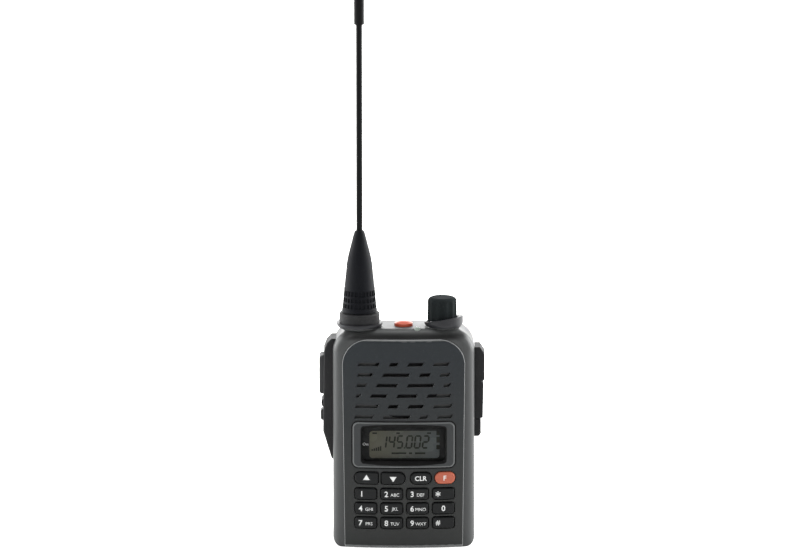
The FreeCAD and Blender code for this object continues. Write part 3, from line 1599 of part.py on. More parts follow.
def build_clip():
    rear = size.pack_back
    level = size.clip_pivot
    half = size.bracket_half
    barrel = size.clip_barrel
    plate_back = rear + size.bracket_plate
    pivot_depth = plate_back + barrel + size.clip_ear_gap
    spot = (pivot_depth, level)
    heights = (level - barrel, level + barrel)
    solids = [box("bracket_plate", (-half, half), (rear, plate_back),
                  (level - size.bracket_half_height, level + size.bracket_half_height))]
    for low, high in ((-half, -half + size.clip_ear), (half - size.clip_ear, half)):
        solids.append(rod("ear_round", "x", spot, barrel, low, high))
        solids.append(box("ear_web", (low, high), (plate_back - LAP, pivot_depth), heights))
    way = rod("pin_way", "x", spot, size.clip_pin_radius, -half - PAST, half + PAST)
    node("clip_bracket", cut("clip_bracket", fuse("bracket_solid", *solids), way))
    outer = size.clip_half
    node("clip_pin", rod("clip_pin", "x", spot, size.clip_pin_radius, -outer, outer))
    lever_front = pivot_depth + barrel + size.clip_ear_gap
    lever_back = lever_front + size.clip_thickness
    crest = rear + size.clip_mouth
    foot = size.clip_foot
    lever = slab("clip_lever", "x", [[
        (lever_front, foot + size.bead_root),
        (crest + size.bead_slope, foot + size.bead_crest_high),
        (crest, foot + size.bead_crest_low),
        (lever_front, foot - size.clip_toe),
        (lever_back, foot),
        (lever_back, size.clip_top),
        (lever_front, size.clip_top),
    ]], -outer, outer)
    round_edges(lever, size.clip_corner, along("y"), beyond("z", level))
    inner = half + size.clip_ear_gap
    solids = [lever]
    for low, high in ((-outer, -inner), (inner, outer)):
        solids.append(rod("lug_round", "x", spot, barrel, low, high))
        solids.append(box("lug_web", (low, high), (pivot_depth, lever_front + LAP), heights))
    bore = rod("lug_bore", "x", spot, size.clip_pin_radius + size.clip_pin_fit, -outer - PAST, outer + PAST)
    node("belt_clip", cut("belt_clip", fuse("clip_solid", *solids), bore))
    coil_half = half - size.clip_ear - size.clip_ear_gap
    node("clip_spring", coil("clip_spring", "x", spot, size.clip_coil_radius, size.clip_coil_wire,
                             size.clip_coil_pitch, -coil_half, coil_half))


def check_document():
    doc.recompute()
    faults = [item.Name for item in doc.Objects if {"Invalid", "Error"} & set(item.State)]
    for name, item in nodes.items():
        shape = item.Shape
        if shape.isNull() or not shape.isValid() or not shape.Solids:
            faults.append(name)
    if faults:
        raise RuntimeError("faulty objects: " + ", ".join(faults))


def write_steps():
    os.makedirs("parts", exist_ok=True)
    for name, item in nodes.items():
        item.Shape.exportStep(f"parts/{name}.step")
    print(len(nodes), "nodes written")


build_front_cover()
build_display()
build_speaker()
build_keys()
build_boards()
build_chassis()
build_screws()
build_contacts()
build_socket()
build_antenna()
build_volume()
build_call_button()
build_status_lens()
build_side_panel()
build_side_keys()
build_jack_cover()
build_jack_anchor()
build_jack_block()
build_pack()
build_catch()
build_clip()
check_document()
write_steps()
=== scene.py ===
import math

import bmesh
import bpy
from mathutils import Matrix, Quaternion, Vector


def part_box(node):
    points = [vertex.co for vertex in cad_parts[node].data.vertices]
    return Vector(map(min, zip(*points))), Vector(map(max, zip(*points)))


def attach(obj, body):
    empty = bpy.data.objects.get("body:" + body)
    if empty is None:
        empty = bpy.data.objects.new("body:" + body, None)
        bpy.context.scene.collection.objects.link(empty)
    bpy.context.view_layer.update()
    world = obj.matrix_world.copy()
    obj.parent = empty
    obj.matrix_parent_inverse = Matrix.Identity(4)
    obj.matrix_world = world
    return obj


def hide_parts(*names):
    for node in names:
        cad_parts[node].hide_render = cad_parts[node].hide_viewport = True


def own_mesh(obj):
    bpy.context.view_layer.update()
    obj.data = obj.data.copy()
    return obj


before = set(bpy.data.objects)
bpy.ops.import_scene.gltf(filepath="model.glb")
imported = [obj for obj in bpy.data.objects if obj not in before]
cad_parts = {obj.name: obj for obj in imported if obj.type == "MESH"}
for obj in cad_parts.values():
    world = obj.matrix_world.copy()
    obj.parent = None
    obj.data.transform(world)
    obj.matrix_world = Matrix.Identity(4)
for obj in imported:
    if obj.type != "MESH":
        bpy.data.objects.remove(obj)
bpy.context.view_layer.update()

# Handheld radio, in metres: +Z is up, the keypad faces -Y and +X is to the right as seen from the front.

MM = 0.001
scene = bpy.context.scene
scene.view_settings.view_transform = "Standard"

KEYS = ("key_up", "key_down", "key_clear", "key_function", "key_1", "key_2", "key_3", "key_star",
        "key_4", "key_5", "key_6", "key_0", "key_7", "key_8", "key_9", "key_hash")

# The front face and the key faces are bowed about one upright axis
BOW_AXIS_DEPTH = 127.0 * MM
CROWN_RADIUS = 145.0 * MM
PANEL_PROUD = 0.7 * MM

SPECULAR = "Specular IOR Level"

# Display window and the raised frame round it
window_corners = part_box("display_window")
DISPLAY_LEVEL = (window_corners[0].z + window_corners[1].z) / 2
BEZEL_HALF = (20.95 * MM, 9.5 * MM)
BEZEL_CORNER = 2.4 * MM
WINDOW_HALF = (17.1 * MM, 7.2 * MM)
CASE_TOP = 91.4 * MM

# Heights between which each shade of the front cover comes or goes
PANEL_SHADE = (25 * MM, 80 * MM)
# Brow: a band of painted shade round the case just under its top, between these heights
BROW_START = (86.5 * MM, 88.2 * MM)
BROW_END = (89.0 * MM, 90.8 * MM)
# Where the painted highlight along the panel's step stops, below the top
HIGHLIGHT_END = (88.0 * MM, 88.4 * MM)
RINGS_START = (CASE_TOP + 0.1 * MM, CASE_TOP + 0.5 * MM)

# Colours of the front cover's rings, of its panel's foot and of the frame round the display
RING_COLOUR = (0.009, 0.0095, 0.0115)
PANEL_FOOT = (0.0100, 0.0112, 0.0105)
FRAME_FACE = (0.020, 0.022, 0.023)
# Painted highlight along the frame's edge
FRAME_HIGHLIGHT = (0.085, 0.09, 0.09)
# Painted shade: the frame's shadow line and slopes, and the brow
SHADE_PAINT = (0.001, 0.001, 0.001)


def bow_depth(across, proud):
    """Y of the bowed front at a distance from the middle, that far in front of the case's own face."""
    return BOW_AXIS_DEPTH - math.sqrt((CROWN_RADIUS + proud) ** 2 - across ** 2)


# Node trees

def link(tree, source, target):
    """Joins two sockets."""
    tree.links.new(source, target)


def add(tree, kind, x=0, y=0, **settings):
    """Adds a node with its settings."""
    node = tree.nodes.new(kind)
    node.location = (x, y)
    for name, value in settings.items():
        setattr(node, name, value)
    return node


def effect(name, inputs, outputs):
    """An empty shader node group with named sockets; returns its tree, its entry and its exit."""
    tree = bpy.data.node_groups.new(name, "ShaderNodeTree")
    for label, kind, value in inputs:
        socket = tree.interface.new_socket(label, in_out="INPUT", socket_type=kind)
        socket.default_value = value
    for label, kind in outputs:
        tree.interface.new_socket(label, in_out="OUTPUT", socket_type=kind)
    return tree, add(tree, "NodeGroupInput", -900), add(tree, "NodeGroupOutput", 700)


def noise(tree, vector, scale, detail=3.0, roughness=0.55, x=0, y=0):
    """Noise at a fixed or a linked scale."""
    node = add(tree, "ShaderNodeTexNoise", x, y)
    node.inputs["Detail"].default_value = detail
    node.inputs["Roughness"].default_value = roughness
    link(tree, vector, node.inputs["Vector"])
    if isinstance(scale, (int, float)):
        node.inputs["Scale"].default_value = scale
    else:
        link(tree, scale, node.inputs["Scale"])
    return node.outputs["Fac"]


def maths(tree, operation, first, second, x=0, y=0):
    """Adds a maths node that takes two numbers or sockets."""
    node = add(tree, "ShaderNodeMath", x, y, operation=operation)
    for socket, value in zip(node.inputs, (first, second)):
        if isinstance(value, (int, float)):
            socket.default_value = value
        else:
            link(tree, value, socket)
    return node.outputs[0]


def spread(tree, value, low, high, to_low, to_high, x=0, y=0):
    """Maps a range to another and keeps it inside."""
    node = add(tree, "ShaderNodeMapRange", x, y)
    for label, number in (("From Min", low), ("From Max", high), ("To Min", to_low), ("To Max", to_high)):
        if isinstance(number, (int, float)):
            node.inputs[label].default_value = number
        else:
            link(tree, number, node.inputs[label])
    link(tree, value, node.inputs["Value"])
    return node.outputs["Result"]


def make_moulded_grain():
    """Fine pitted texture of a plastic mould, as a height."""
    tree, entry, leave = effect("moulded_grain", [("Scale", "NodeSocketFloat", 4000.0)],
                                [("Height", "NodeSocketFloat")])
    spot = add(tree, "ShaderNodeTexCoord", -700).outputs["Object"]
    fine = noise(tree, spot, entry.outputs["Scale"], 4.0, 0.6, -400, 100)
    coarse = noise(tree, spot, maths(tree, "MULTIPLY", entry.outputs["Scale"], 0.35, -600, -200), 2.0, 0.5,
                   -400, -150)
    mixed = maths(tree, "ADD", maths(tree, "MULTIPLY", fine, 0.65, -150, 100),
                  maths(tree, "MULTIPLY", coarse, 0.35, -150, -100), 100)
    link(tree, mixed, leave.inputs["Height"])
    return tree


def make_handling():
    """Slow drift of colour and gloss, where hands and dust have been."""
    tree, entry, leave = effect("handling", [("Colour", "NodeSocketColor", (0.03, 0.03, 0.03, 1)),
                                             ("Dust Colour", "NodeSocketColor", (0.3, 0.3, 0.3, 1)),
                                             ("Dust", "NodeSocketFloat", 0.05),
                                             ("Roughness", "NodeSocketFloat", 0.5),
                                             ("Gloss Drift", "NodeSocketFloat", 0.08)],
                                [("Colour", "NodeSocketColor"), ("Roughness", "NodeSocketFloat")])
    spot = add(tree, "ShaderNodeTexCoord", -700).outputs["Object"]
    slow = noise(tree, spot, 55.0, 4.0, 0.6, -450, 200)
    specks = noise(tree, spot, 1500.0, 3.0, 0.7, -450, -100)
    patch = spread(tree, slow, 0.35, 0.7, 0.0, 1.0, -200, 200)
    speck = spread(tree, specks, 0.58, 0.74, 0.0, 1.0, -200, -100)
    cover = maths(tree, "MULTIPLY", entry.outputs["Dust"],
                  maths(tree, "ADD", maths(tree, "MULTIPLY", patch, 0.5, 0, 200), speck, 50, 100), 200, 100)
    mix = add(tree, "ShaderNodeMix", 400, 200, data_type="RGBA")
    link(tree, cover, mix.inputs["Factor"])
    link(tree, entry.outputs["Colour"], mix.inputs["A"])
    link(tree, entry.outputs["Dust Colour"], mix.inputs["B"])
    link(tree, mix.outputs["Result"], leave.inputs["Colour"])
    low = maths(tree, "SUBTRACT", entry.outputs["Roughness"], entry.outputs["Gloss Drift"], 0, -200)
    high = maths(tree, "ADD", entry.outputs["Roughness"], entry.outputs["Gloss Drift"], 0, -350)
    link(tree, spread(tree, slow, 0.3, 0.7, low, high, 300, -250), leave.inputs["Roughness"])
    return tree


moulded_grain = make_moulded_grain()
handling = make_handling()


def placed(tree, group, x, y, values):
    """Adds a node group with values in its sockets."""
    node = add(tree, "ShaderNodeGroup", x, y, node_tree=group)
    for label, value in values.items():
        node.inputs[label].default_value = value
    return node


def principled(name):
    """A new material with its tree and its shader."""
    material = bpy.data.materials.new(name)
    material.use_nodes = True
    tree = material.node_tree
    shader = tree.nodes["Principled BSDF"]
    return material, tree, shader


def set_sockets(shader, values):
    """Sets the sockets that nothing is linked to."""
    for label, value in values.items():
        shader.inputs[label].default_value = value


def bump(tree, shader, height, distance):
    """Turns a height into the shader's normal."""
    node = add(tree, "ShaderNodeBump", -250, -400)
    node.inputs["Distance"].default_value = distance
    link(tree, height, node.inputs["Height"])
    link(tree, node.outputs["Normal"], shader.inputs["Normal"])


def moulded(name, colour, roughness, grain=3500.0, depth=0.02 * MM, dust=0.05, drift=0.07, dust_colour=0.35,
            **sockets):
    """Plastic or rubber: a drifting colour and gloss over a fine pitted surface."""
    material, tree, shader = principled(name)
    wear = placed(tree, handling, -500, 100, {"Colour": (*colour, 1), "Dust": dust, "Roughness": roughness,
                                              "Dust Colour": (dust_colour,) * 3 + (1,), "Gloss Drift": drift})
    link(tree, wear.outputs["Colour"], shader.inputs["Base Color"])
    link(tree, wear.outputs["Roughness"], shader.inputs["Roughness"])
    skin = placed(tree, moulded_grain, -500, -400, {"Scale": grain})
    bump(tree, shader, skin.outputs["Height"], depth)
    set_sockets(shader, sockets)
    return material


def make_display_frame():
    """Masks of the raised frame round the display: its painted shadow line, painted highlight edge, face and
    painted shade on its slopes.
    """
    tree, entry, leave = effect("display_frame", [("Proud", "NodeSocketFloat", 0.0)],
                                [(label, "NodeSocketFloat") for label in ("Shadow", "Edge", "Face", "Slope")])
    parts = add(tree, "ShaderNodeSeparateXYZ", -1500)
    link(tree, add(tree, "ShaderNodeTexCoord", -1700).outputs["Object"], parts.inputs[0])
    across = maths(tree, "ABSOLUTE", parts.outputs["X"], 0.0, -1300, 100)
    above = maths(tree, "ABSOLUTE", maths(tree, "SUBTRACT", parts.outputs["Z"], DISPLAY_LEVEL, -1300, -100),
                  0.0, -1100, -100)
    squares = []
    for value, half in ((across, BEZEL_HALF[0]), (above, BEZEL_HALF[1])):
        over = maths(tree, "MAXIMUM", maths(tree, "SUBTRACT", value, half - BEZEL_CORNER), 0.0)
        squares.append(maths(tree, "POWER", over, 2.0))
    reach = maths(tree, "SUBTRACT", maths(tree, "SQRT", maths(tree, "ADD", *squares), 0.0), BEZEL_CORNER)
    proud = entry.outputs["Proud"]
    # Painted shadow line just outside the frame
    near = spread(tree, reach, 0.4 * MM, 0.75 * MM, 1.0, 0.0)
    shadow = maths(tree, "MULTIPLY", near, spread(tree, reach, -0.05 * MM, 0.1 * MM, 0.0, 1.0))
    # Painted highlight along the frame's rim
    edge = maths(tree, "MULTIPLY", spread(tree, reach, -0.1 * MM, 0.05 * MM, 1.0, 0.0),
                 spread(tree, reach, -0.75 * MM, -0.5 * MM, 0.0, 1.0))
    inside = spread(tree, reach, -0.9 * MM, -0.7 * MM, 1.0, 0.0)
    # Painted shade on the slopes between the frame's top and the window
    high = spread(tree, proud, PANEL_PROUD + 0.2 * MM, PANEL_PROUD + 0.4 * MM, 0.0, 1.0)
    beside = spread(tree, across, WINDOW_HALF[0] + 0.5 * MM, WINDOW_HALF[0] + 0.8 * MM, 1.0, 0.0)
    beyond = spread(tree, above, WINDOW_HALF[1] - 0.2 * MM, WINDOW_HALF[1], 0.0, 1.0)
    slope = maths(tree, "MULTIPLY", maths(tree, "SUBTRACT", 1.0, high),
                  maths(tree, "MAXIMUM", beside, beyond))
    for label, value in (("Shadow", shadow), ("Edge", edge), ("Face", inside),
                         ("Slope", maths(tree, "MULTIPLY", slope, inside))):
        link(tree, value, leave.inputs[label])
    return tree


display_frame = make_display_frame()


def tinted(tree, colour, mask, paint, x, y):
    """Paints a colour over another where the mask is."""
    mix = add(tree, "ShaderNodeMix", x, y, data_type="RGBA")
    link(tree, colour, mix.inputs["A"])
    mix.inputs["B"].default_value = (*paint, 1)
    link(tree, mask, mix.inputs["Factor"])
    return mix.outputs["Result"]


def case_finish(name, colour, panel_colour, highlight_colour, roughness):
    """Case plastic with a darker raised panel, a painted highlight along its step and painted shade on the
    brow.
    """
    material, tree, shader = principled(name)
    spot = add(tree, "ShaderNodeTexCoord", -1900).outputs["Object"]
    flat = add(tree, "ShaderNodeVectorMath", -1700, operation="MULTIPLY_ADD")
    flat.inputs[1].default_value = (1.0, 1.0, 0.0)
    flat.inputs[2].default_value = (0.0, -BOW_AXIS_DEPTH, 0.0)
    link(tree, spot, flat.inputs[0])
    reach = add(tree, "ShaderNodeVectorMath", -1500, operation="LENGTH")
    link(tree, flat.outputs["Vector"], reach.inputs[0])
    proud = maths(tree, "SUBTRACT", reach.outputs["Value"], CROWN_RADIUS, -1300)
    raised = spread(tree, proud, PANEL_PROUD * 0.79, PANEL_PROUD * 0.955, 0.0, 1.0, -1100, 200)
    # Painted highlight: a lighter line along the step round the raised panel, fading out below the top
    step = spread(tree, proud, PANEL_PROUD * 0.02, PANEL_PROUD * 0.4, 0.0, 1.0, -1100, -100)
    line = maths(tree, "MULTIPLY", step, maths(tree, "SUBTRACT", 1.0, raised, -900, 0), -700, 0)
    parts = add(tree, "ShaderNodeSeparateXYZ", -1700, -300)
    link(tree, spot, parts.inputs[0])
    height = parts.outputs["Z"]
    # Painted shade: a dark band across the brow under the case's top
    brow_shade = maths(tree, "MULTIPLY", spread(tree, height, *BROW_START, 0.0, 0.85, -1500, -300),
                 spread(tree, height, *BROW_END, 1.0, 0.0, -1500, -500))
    below_top = spread(tree, height, *HIGHLIGHT_END, 1.0, 0.0, -1500, -700)
    line = maths(tree, "MULTIPLY", line, below_top, -650, 0)
    rings = spread(tree, height, *RINGS_START, 0.0, 1.0, -1500, -900)
    shades = add(tree, "ShaderNodeMix", -1100, 500, data_type="RGBA")
    shades.inputs["A"].default_value = (*PANEL_FOOT, 1)
    shades.inputs["B"].default_value = (*panel_colour, 1)
    link(tree, spread(tree, height, *PANEL_SHADE, 0.0, 1.0, -1300, 500), shades.inputs["Factor"])
    outer = add(tree, "ShaderNodeMix", -900, 300, data_type="RGBA")
    outer.inputs["A"].default_value = (*colour, 1)
    link(tree, shades.outputs["Result"], outer.inputs["B"])
    link(tree, raised, outer.inputs["Factor"])
    frame_masks = add(tree, "ShaderNodeGroup", -900, 600, node_tree=display_frame)
    link(tree, proud, frame_masks.inputs["Proud"])
    # Painted shade over the brow
    edged = tinted(tree, outer.outputs["Result"], brow_shade, SHADE_PAINT, -800, 300)
    # Painted highlight along the panel's step
    edged = tinted(tree, edged, line, highlight_colour, -750, 300)
    edged = tinted(tree, edged, rings, RING_COLOUR, -720, 300)
    # The frame's face colour, its painted highlight, and painted shade on its shadow line and slopes
    frame_paint = (("Face", FRAME_FACE), ("Edge", FRAME_HIGHLIGHT), ("Shadow", SHADE_PAINT), ("Slope", SHADE_PAINT))
    for number, (label, paint) in enumerate(frame_paint):
        edged = tinted(tree, edged, frame_masks.outputs[label], paint, -700 + 100 * number, 500)
    wear = placed(tree, handling, -300, 100, {"Dust": 0.025, "Roughness": roughness, "Gloss Drift": 0.06,
                                              "Dust Colour": (0.3, 0.3, 0.3, 1)})
    link(tree, edged, wear.inputs["Colour"])
    link(tree, wear.outputs["Colour"], shader.inputs["Base Color"])
    dull = maths(tree, "MAXIMUM", frame_masks.outputs["Slope"], frame_masks.outputs["Shadow"], -300, -100)
    roughness_here = maths(tree, "MAXIMUM", wear.outputs["Roughness"], dull, -100, -100)
    link(tree, roughness_here, shader.inputs["Roughness"])
    skin = placed(tree, moulded_grain, -500, -400, {"Scale": 3200.0})
    bump(tree, shader, skin.outputs["Height"], 0.02 * MM)
    set_sockets(shader, {SPECULAR: 0.22})
    return material


def turned_metal(name, colour, roughness, grain=900.0):
    """Bare or plated metal with fine tool marks."""
    material, tree, shader = principled(name)
    spot = add(tree, "ShaderNodeTexCoord", -1100).outputs["Object"]
    stretch = add(tree, "ShaderNodeMapping", -900)
    stretch.inputs["Scale"].default_value = (1.0, 1.0, 8.0)
    link(tree, spot, stretch.inputs["Vector"])
    marks = noise(tree, stretch.outputs["Vector"], grain, 3.0, 0.6, -700)
    wear = placed(tree, handling, -500, 100, {"Colour": (*colour, 1), "Dust": 0.04, "Roughness": roughness,
                                              "Dust Colour": (0.2, 0.19, 0.17, 1), "Gloss Drift": 0.08})
    link(tree, wear.outputs["Colour"], shader.inputs["Base Color"])
    link(tree, wear.outputs["Roughness"], shader.inputs["Roughness"])
    bump(tree, shader, marks, 0.01 * MM)
    set_sockets(shader, {"Metallic": 1.0})
    return material


def clear(name, colour):
    """Thin clear plastic: almost open from the front, duller the flatter it is looked at."""
    material, tree, shader = principled(name)
    set_sockets(shader, {"Base Color": (*colour, 1), "IOR": 1.49, SPECULAR: 0.0})
    spot = add(tree, "ShaderNodeTexCoord", -900).outputs["Object"]
    smears = noise(tree, spot, 90.0, 3.0, 0.6, -700)
    link(tree, spread(tree, smears, 0.4, 0.75, 0.03, 0.09, -400), shader.inputs["Roughness"])
    facing = add(tree, "ShaderNodeLayerWeight", -700, -300).outputs["Facing"]
    link(tree, spread(tree, facing, 0.2, 1.0, 0.03, 0.2, -400, -300), shader.inputs["Alpha"])
    return material


# Case colour, raised panel colour, painted highlight colour along the panel's step, roughness
case_black = case_finish("case_plastic", (0.038, 0.040, 0.040), (0.0045, 0.0075, 0.0100),
                         (0.16, 0.165, 0.165), 0.4)
pack_black = moulded("pack_plastic", (0.024, 0.025, 0.026), 0.46, 3000.0, 0.025 * MM, 0.05, **{SPECULAR: 0.2})
key_black = moulded("key_plastic", (0.0048, 0.0054, 0.0056), 0.36, 4500.0, 0.008 * MM, 0.012,
                    **{SPECULAR: 0.12})
orange = moulded("orange_plastic", (0.46, 0.066, 0.024), 0.34, 4500.0, 0.008 * MM, 0.03)
orange_satin = moulded("orange_key", (0.34, 0.088, 0.052), 0.42, 4500.0, 0.008 * MM, 0.03, **{SPECULAR: 0.15})
rubber = moulded("soft_rubber", (0.0115, 0.0118, 0.0125), 0.55, 2600.0, 0.02 * MM, 0.05, **{SPECULAR: 0.1})
antenna_rubber = moulded("antenna_rubber", (0.0038, 0.0043, 0.0058), 0.55, 2600.0, 0.02 * MM, 0.012,
                         **{SPECULAR: 0.06})
talk_rubber = moulded("talk_rubber", (0.028, 0.029, 0.030), 0.5, 2600.0, 0.02 * MM, 0.05, **{SPECULAR: 0.15})
knob_black = moulded("knob_plastic", (0.0100, 0.0125, 0.0130), 0.6, 4200.0, 0.01 * MM, 0.02,
                     **{SPECULAR: 0.008})
sleeve = moulded("whip_sleeve", (0.0042, 0.0042, 0.0045), 0.45, 3800.0, 0.01 * MM, 0.006, **{SPECULAR: 0.06})
inner_black = moulded("inner_plastic", (0.02, 0.02, 0.022), 0.5)
silicone = moulded("silicone", (0.12, 0.12, 0.115), 0.6)
casting = moulded("painted_casting", (0.03, 0.031, 0.032), 0.5, 1500.0, 0.05 * MM, 0.06)
board_green = moulded("board", (0.015, 0.07, 0.03), 0.4)
paper = moulded("cone_paper", (0.03, 0.028, 0.026), 0.8, 1800.0, 0.05 * MM)
cloth_mesh = moulded("speaker_cloth", (0.006, 0.006, 0.007), 0.9, 2400.0, 0.08 * MM)
plated = turned_metal("plated_steel", (0.55, 0.55, 0.54), 0.3)
brass = turned_metal("brass", (0.70, 0.50, 0.20), 0.28)
window_clear = clear("window_clear", (0.0, 0.0, 0.0))
lens_milky, lens_tree, lens_shader = principled("lens_milky")
white_print = moulded("white_print", (0.60, 0.61, 0.60), 0.5, 3000.0, 0.004 * MM, 0.04)
faint_print = moulded("faint_print", (0.22, 0.225, 0.22), 0.5, 3000.0, 0.004 * MM, 0.04)
lcd_dark = moulded("display_segments", (0.010, 0.011, 0.008), 0.45, 3000.0, 0.002 * MM, 0.0,
                   **{SPECULAR: 0.1})
mask_black = moulded("printed_mask", (0.006, 0.0065, 0.0065), 0.4, 3000.0, 0.003 * MM, 0.02,
                     **{SPECULAR: 0.1})

set_sockets(lens_shader, {"Base Color": (0.30, 0.35, 0.31, 1), "Transmission Weight": 0.3, "IOR": 1.49})
lens_spot = add(lens_tree, "ShaderNodeTexCoord", -900).outputs["Object"]
link(lens_tree, spread(lens_tree, noise(lens_tree, lens_spot, 600.0), 0.3, 0.7, 0.18, 0.32),
     lens_shader.inputs["Roughness"])


def display_glass():
    """Reflective display: olive grey, warmer to the left and cooler to the right."""
    material, tree, shader = principled("display_glass")
    spot = add(tree, "ShaderNodeTexCoord", -1300).outputs["Object"]
    parts = add(tree, "ShaderNodeSeparateXYZ", -1100)
    link(tree, spot, parts.inputs[0])
    blend = spread(tree, parts.outputs["X"], -14 * MM, 15 * MM, 0.0, 1.0, -900)
    clouds = noise(tree, spot, 120.0, 2.0, 0.5, -900, -250)
    mix = add(tree, "ShaderNodeMix", -600, data_type="RGBA")
    link(tree, maths(tree, "ADD", blend, maths(tree, "MULTIPLY", clouds, 0.15, -750, -250), -700),
         mix.inputs["Factor"])
    mix.inputs["A"].default_value = (0.071, 0.068, 0.049, 1)
    mix.inputs["B"].default_value = (0.049, 0.056, 0.056, 1)
    link(tree, mix.outputs["Result"], shader.inputs["Base Color"])
    link(tree, spread(tree, clouds, 0.3, 0.7, 0.2, 0.3, -600, -300), shader.inputs["Roughness"])
    set_sockets(shader, {SPECULAR: 0.1})
    return material


display_olive = display_glass()

NODE_FINISH = {
    "front_cover": case_black, "battery_case": pack_black, "battery_lid": pack_black,
    "side_panel": rubber, "jack_cover": rubber, "jack_anchor": rubber, "antenna_boot": antenna_rubber,
    "antenna_seal": rubber, "talk_key": talk_rubber, "volume_knob": knob_black, "monitor_key": talk_rubber,
    "antenna_collar": rubber, "battery_latch": knob_black, "belt_clip": knob_black,
    "clip_bracket": pack_black, "antenna_whip": sleeve, "antenna_tip": sleeve,
    "display_window": window_clear, "lcd_glass": display_olive, "status_lens": lens_milky,
    "rear_chassis": casting, "case_screws": plated, "volume_shaft": plated, "volume_nut": plated,
    "clip_pin": plated, "speaker_magnet": plated, "latch_spring": plated, "clip_spring": plated,
    "antenna_socket": brass, "antenna_connector": brass, "spring_contacts": brass,
    "logic_board": board_green, "main_board": board_green, "lcd_holder": inner_black,
    "volume_control": inner_black, "call_switch": inner_black, "side_switches": inner_black,
    "jack_block": inner_black, "speaker_frame": inner_black, "battery_cells": silicone,
    "speaker_mesh": cloth_mesh, "speaker_cone": paper, "keypad_mat": silicone,
    "call_button": orange, "key_function": orange_satin,
}


def finish_cad():
    """Gives every solid its material."""
    for name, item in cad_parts.items():
        material = NODE_FINISH.get(name, key_black)
        item.data.materials.clear()
        item.data.materials.append(material)


# Pieces

def piece(name, mesh, material, body):
    """A finished piece: an object at the origin with its place in its mesh."""
    item = bpy.data.objects.new(name, mesh)
    scene.collection.objects.link(item)
    mesh.materials.clear()
    mesh.materials.append(material)
    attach(item, body)
    return item


def from_bmesh(name, shape, material, body, smooth=True):
    """Makes a piece from a bmesh and frees it."""
    mesh = bpy.data.meshes.new(name)
    bmesh.ops.remove_doubles(shape, verts=shape.verts, dist=0.0005 * MM)
    bmesh.ops.recalc_face_normals(shape, faces=shape.faces)
    shape.to_mesh(mesh)
    shape.free()
    if smooth:
        mesh.shade_smooth()
        mesh.set_sharp_from_angle(angle=math.radians(32))
    return piece(name, mesh, material, body)


def lettering(name, words, height, depth, bolder=0.0):
    """Letters or digits as a flat mesh, centred, X across and Y up."""
    curve = bpy.data.curves.new(name, "FONT")
    curve.body = words
    curve.size = height
    curve.extrude = depth / 2
    curve.offset = bolder
    curve.align_x = "CENTER"
    curve.align_y = "CENTER"
    curve.resolution_u = 3
    item = bpy.data.objects.new(name, curve)
    scene.collection.objects.link(item)
    bpy.context.view_layer.update()
    mesh = bpy.data.meshes.new_from_object(item.evaluated_get(bpy.context.evaluated_depsgraph_get()))
    bpy.data.objects.remove(item)
    bpy.data.curves.remove(curve)
    low = [min(v.co[axis] for v in mesh.vertices) for axis in (0, 1)]
    high = [max(v.co[axis] for v in mesh.vertices) for axis in (0, 1)]
    middle = Vector(((low[0] + high[0]) / 2, (low[1] + high[1]) / 2, 0))
    mesh.transform(Matrix.Translation(-middle))
    return mesh


def lay_on_bow(mesh, across, up, proud, depth):
    """Stands a flat mesh on the bowed front, just proud of it."""
    for vertex in mesh.vertices:
        x, z, out = vertex.co
        vertex.co = (x + across, bow_depth(x + across, proud) - depth / 2 - out + 0.01 * MM, z + up)
    mesh.update()


PRINT_DEPTH = 0.03 * MM
KEY_FACE = 1.5 * MM
ARROW_RADIUS = 1.45 * MM


def triangle(points_down):
    """Arrow head of the up and down keys, as a flat mesh."""
    shape = bmesh.new()
    bmesh.ops.create_circle(shape, cap_ends=True, segments=3, radius=ARROW_RADIUS)
    turn = math.pi if points_down else 0.0
    bmesh.ops.rotate(shape, verts=shape.verts, cent=(0, 0, 0), matrix=Matrix.Rotation(turn, 3, "Z"))
    bmesh.ops.scale(shape, verts=shape.verts, vec=(1.12, 1.0, 1.0))
    grown = bmesh.ops.extrude_face_region(shape, geom=shape.faces[:])
    tops = [item for item in grown["geom"] if isinstance(item, bmesh.types.BMVert)]
    bmesh.ops.translate(shape, verts=tops, vec=(0, 0, PRINT_DEPTH / 2))
    bmesh.ops.recalc_face_normals(shape, faces=shape.faces)
    mesh = bpy.data.meshes.new("arrow")
    shape.to_mesh(mesh)
    shape.free()
    return mesh


# Heights of the printed signs, and how far they stand from the middle of their key
DIGIT_SIZE = 3.2 * MM
SMALL_SIZE = 1.9 * MM
CLEAR_SIZE = 2.7 * MM
FUNCTION_SIZE = 2.9 * MM
SIGN_SIZES = {"star": ("*", 1.5), "hash": ("#", 0.9)}
SIGN_SHIFT = -2.2 * MM
SIGN_SHIFTS = {"0": 0.0, "1": -1.7 * MM}
SMALL_SHIFT = (1.3 * MM, -0.3 * MM)
BOLD = 0.05 * MM
HALF_BOLD = 0.04 * MM
LETTERS = {"key_2": "ABC", "key_3": "DEF", "key_4": "GHI", "key_5": "JKL", "key_6": "MNO",
           "key_7": "PRS", "key_8": "TUV", "key_9": "WXY"}


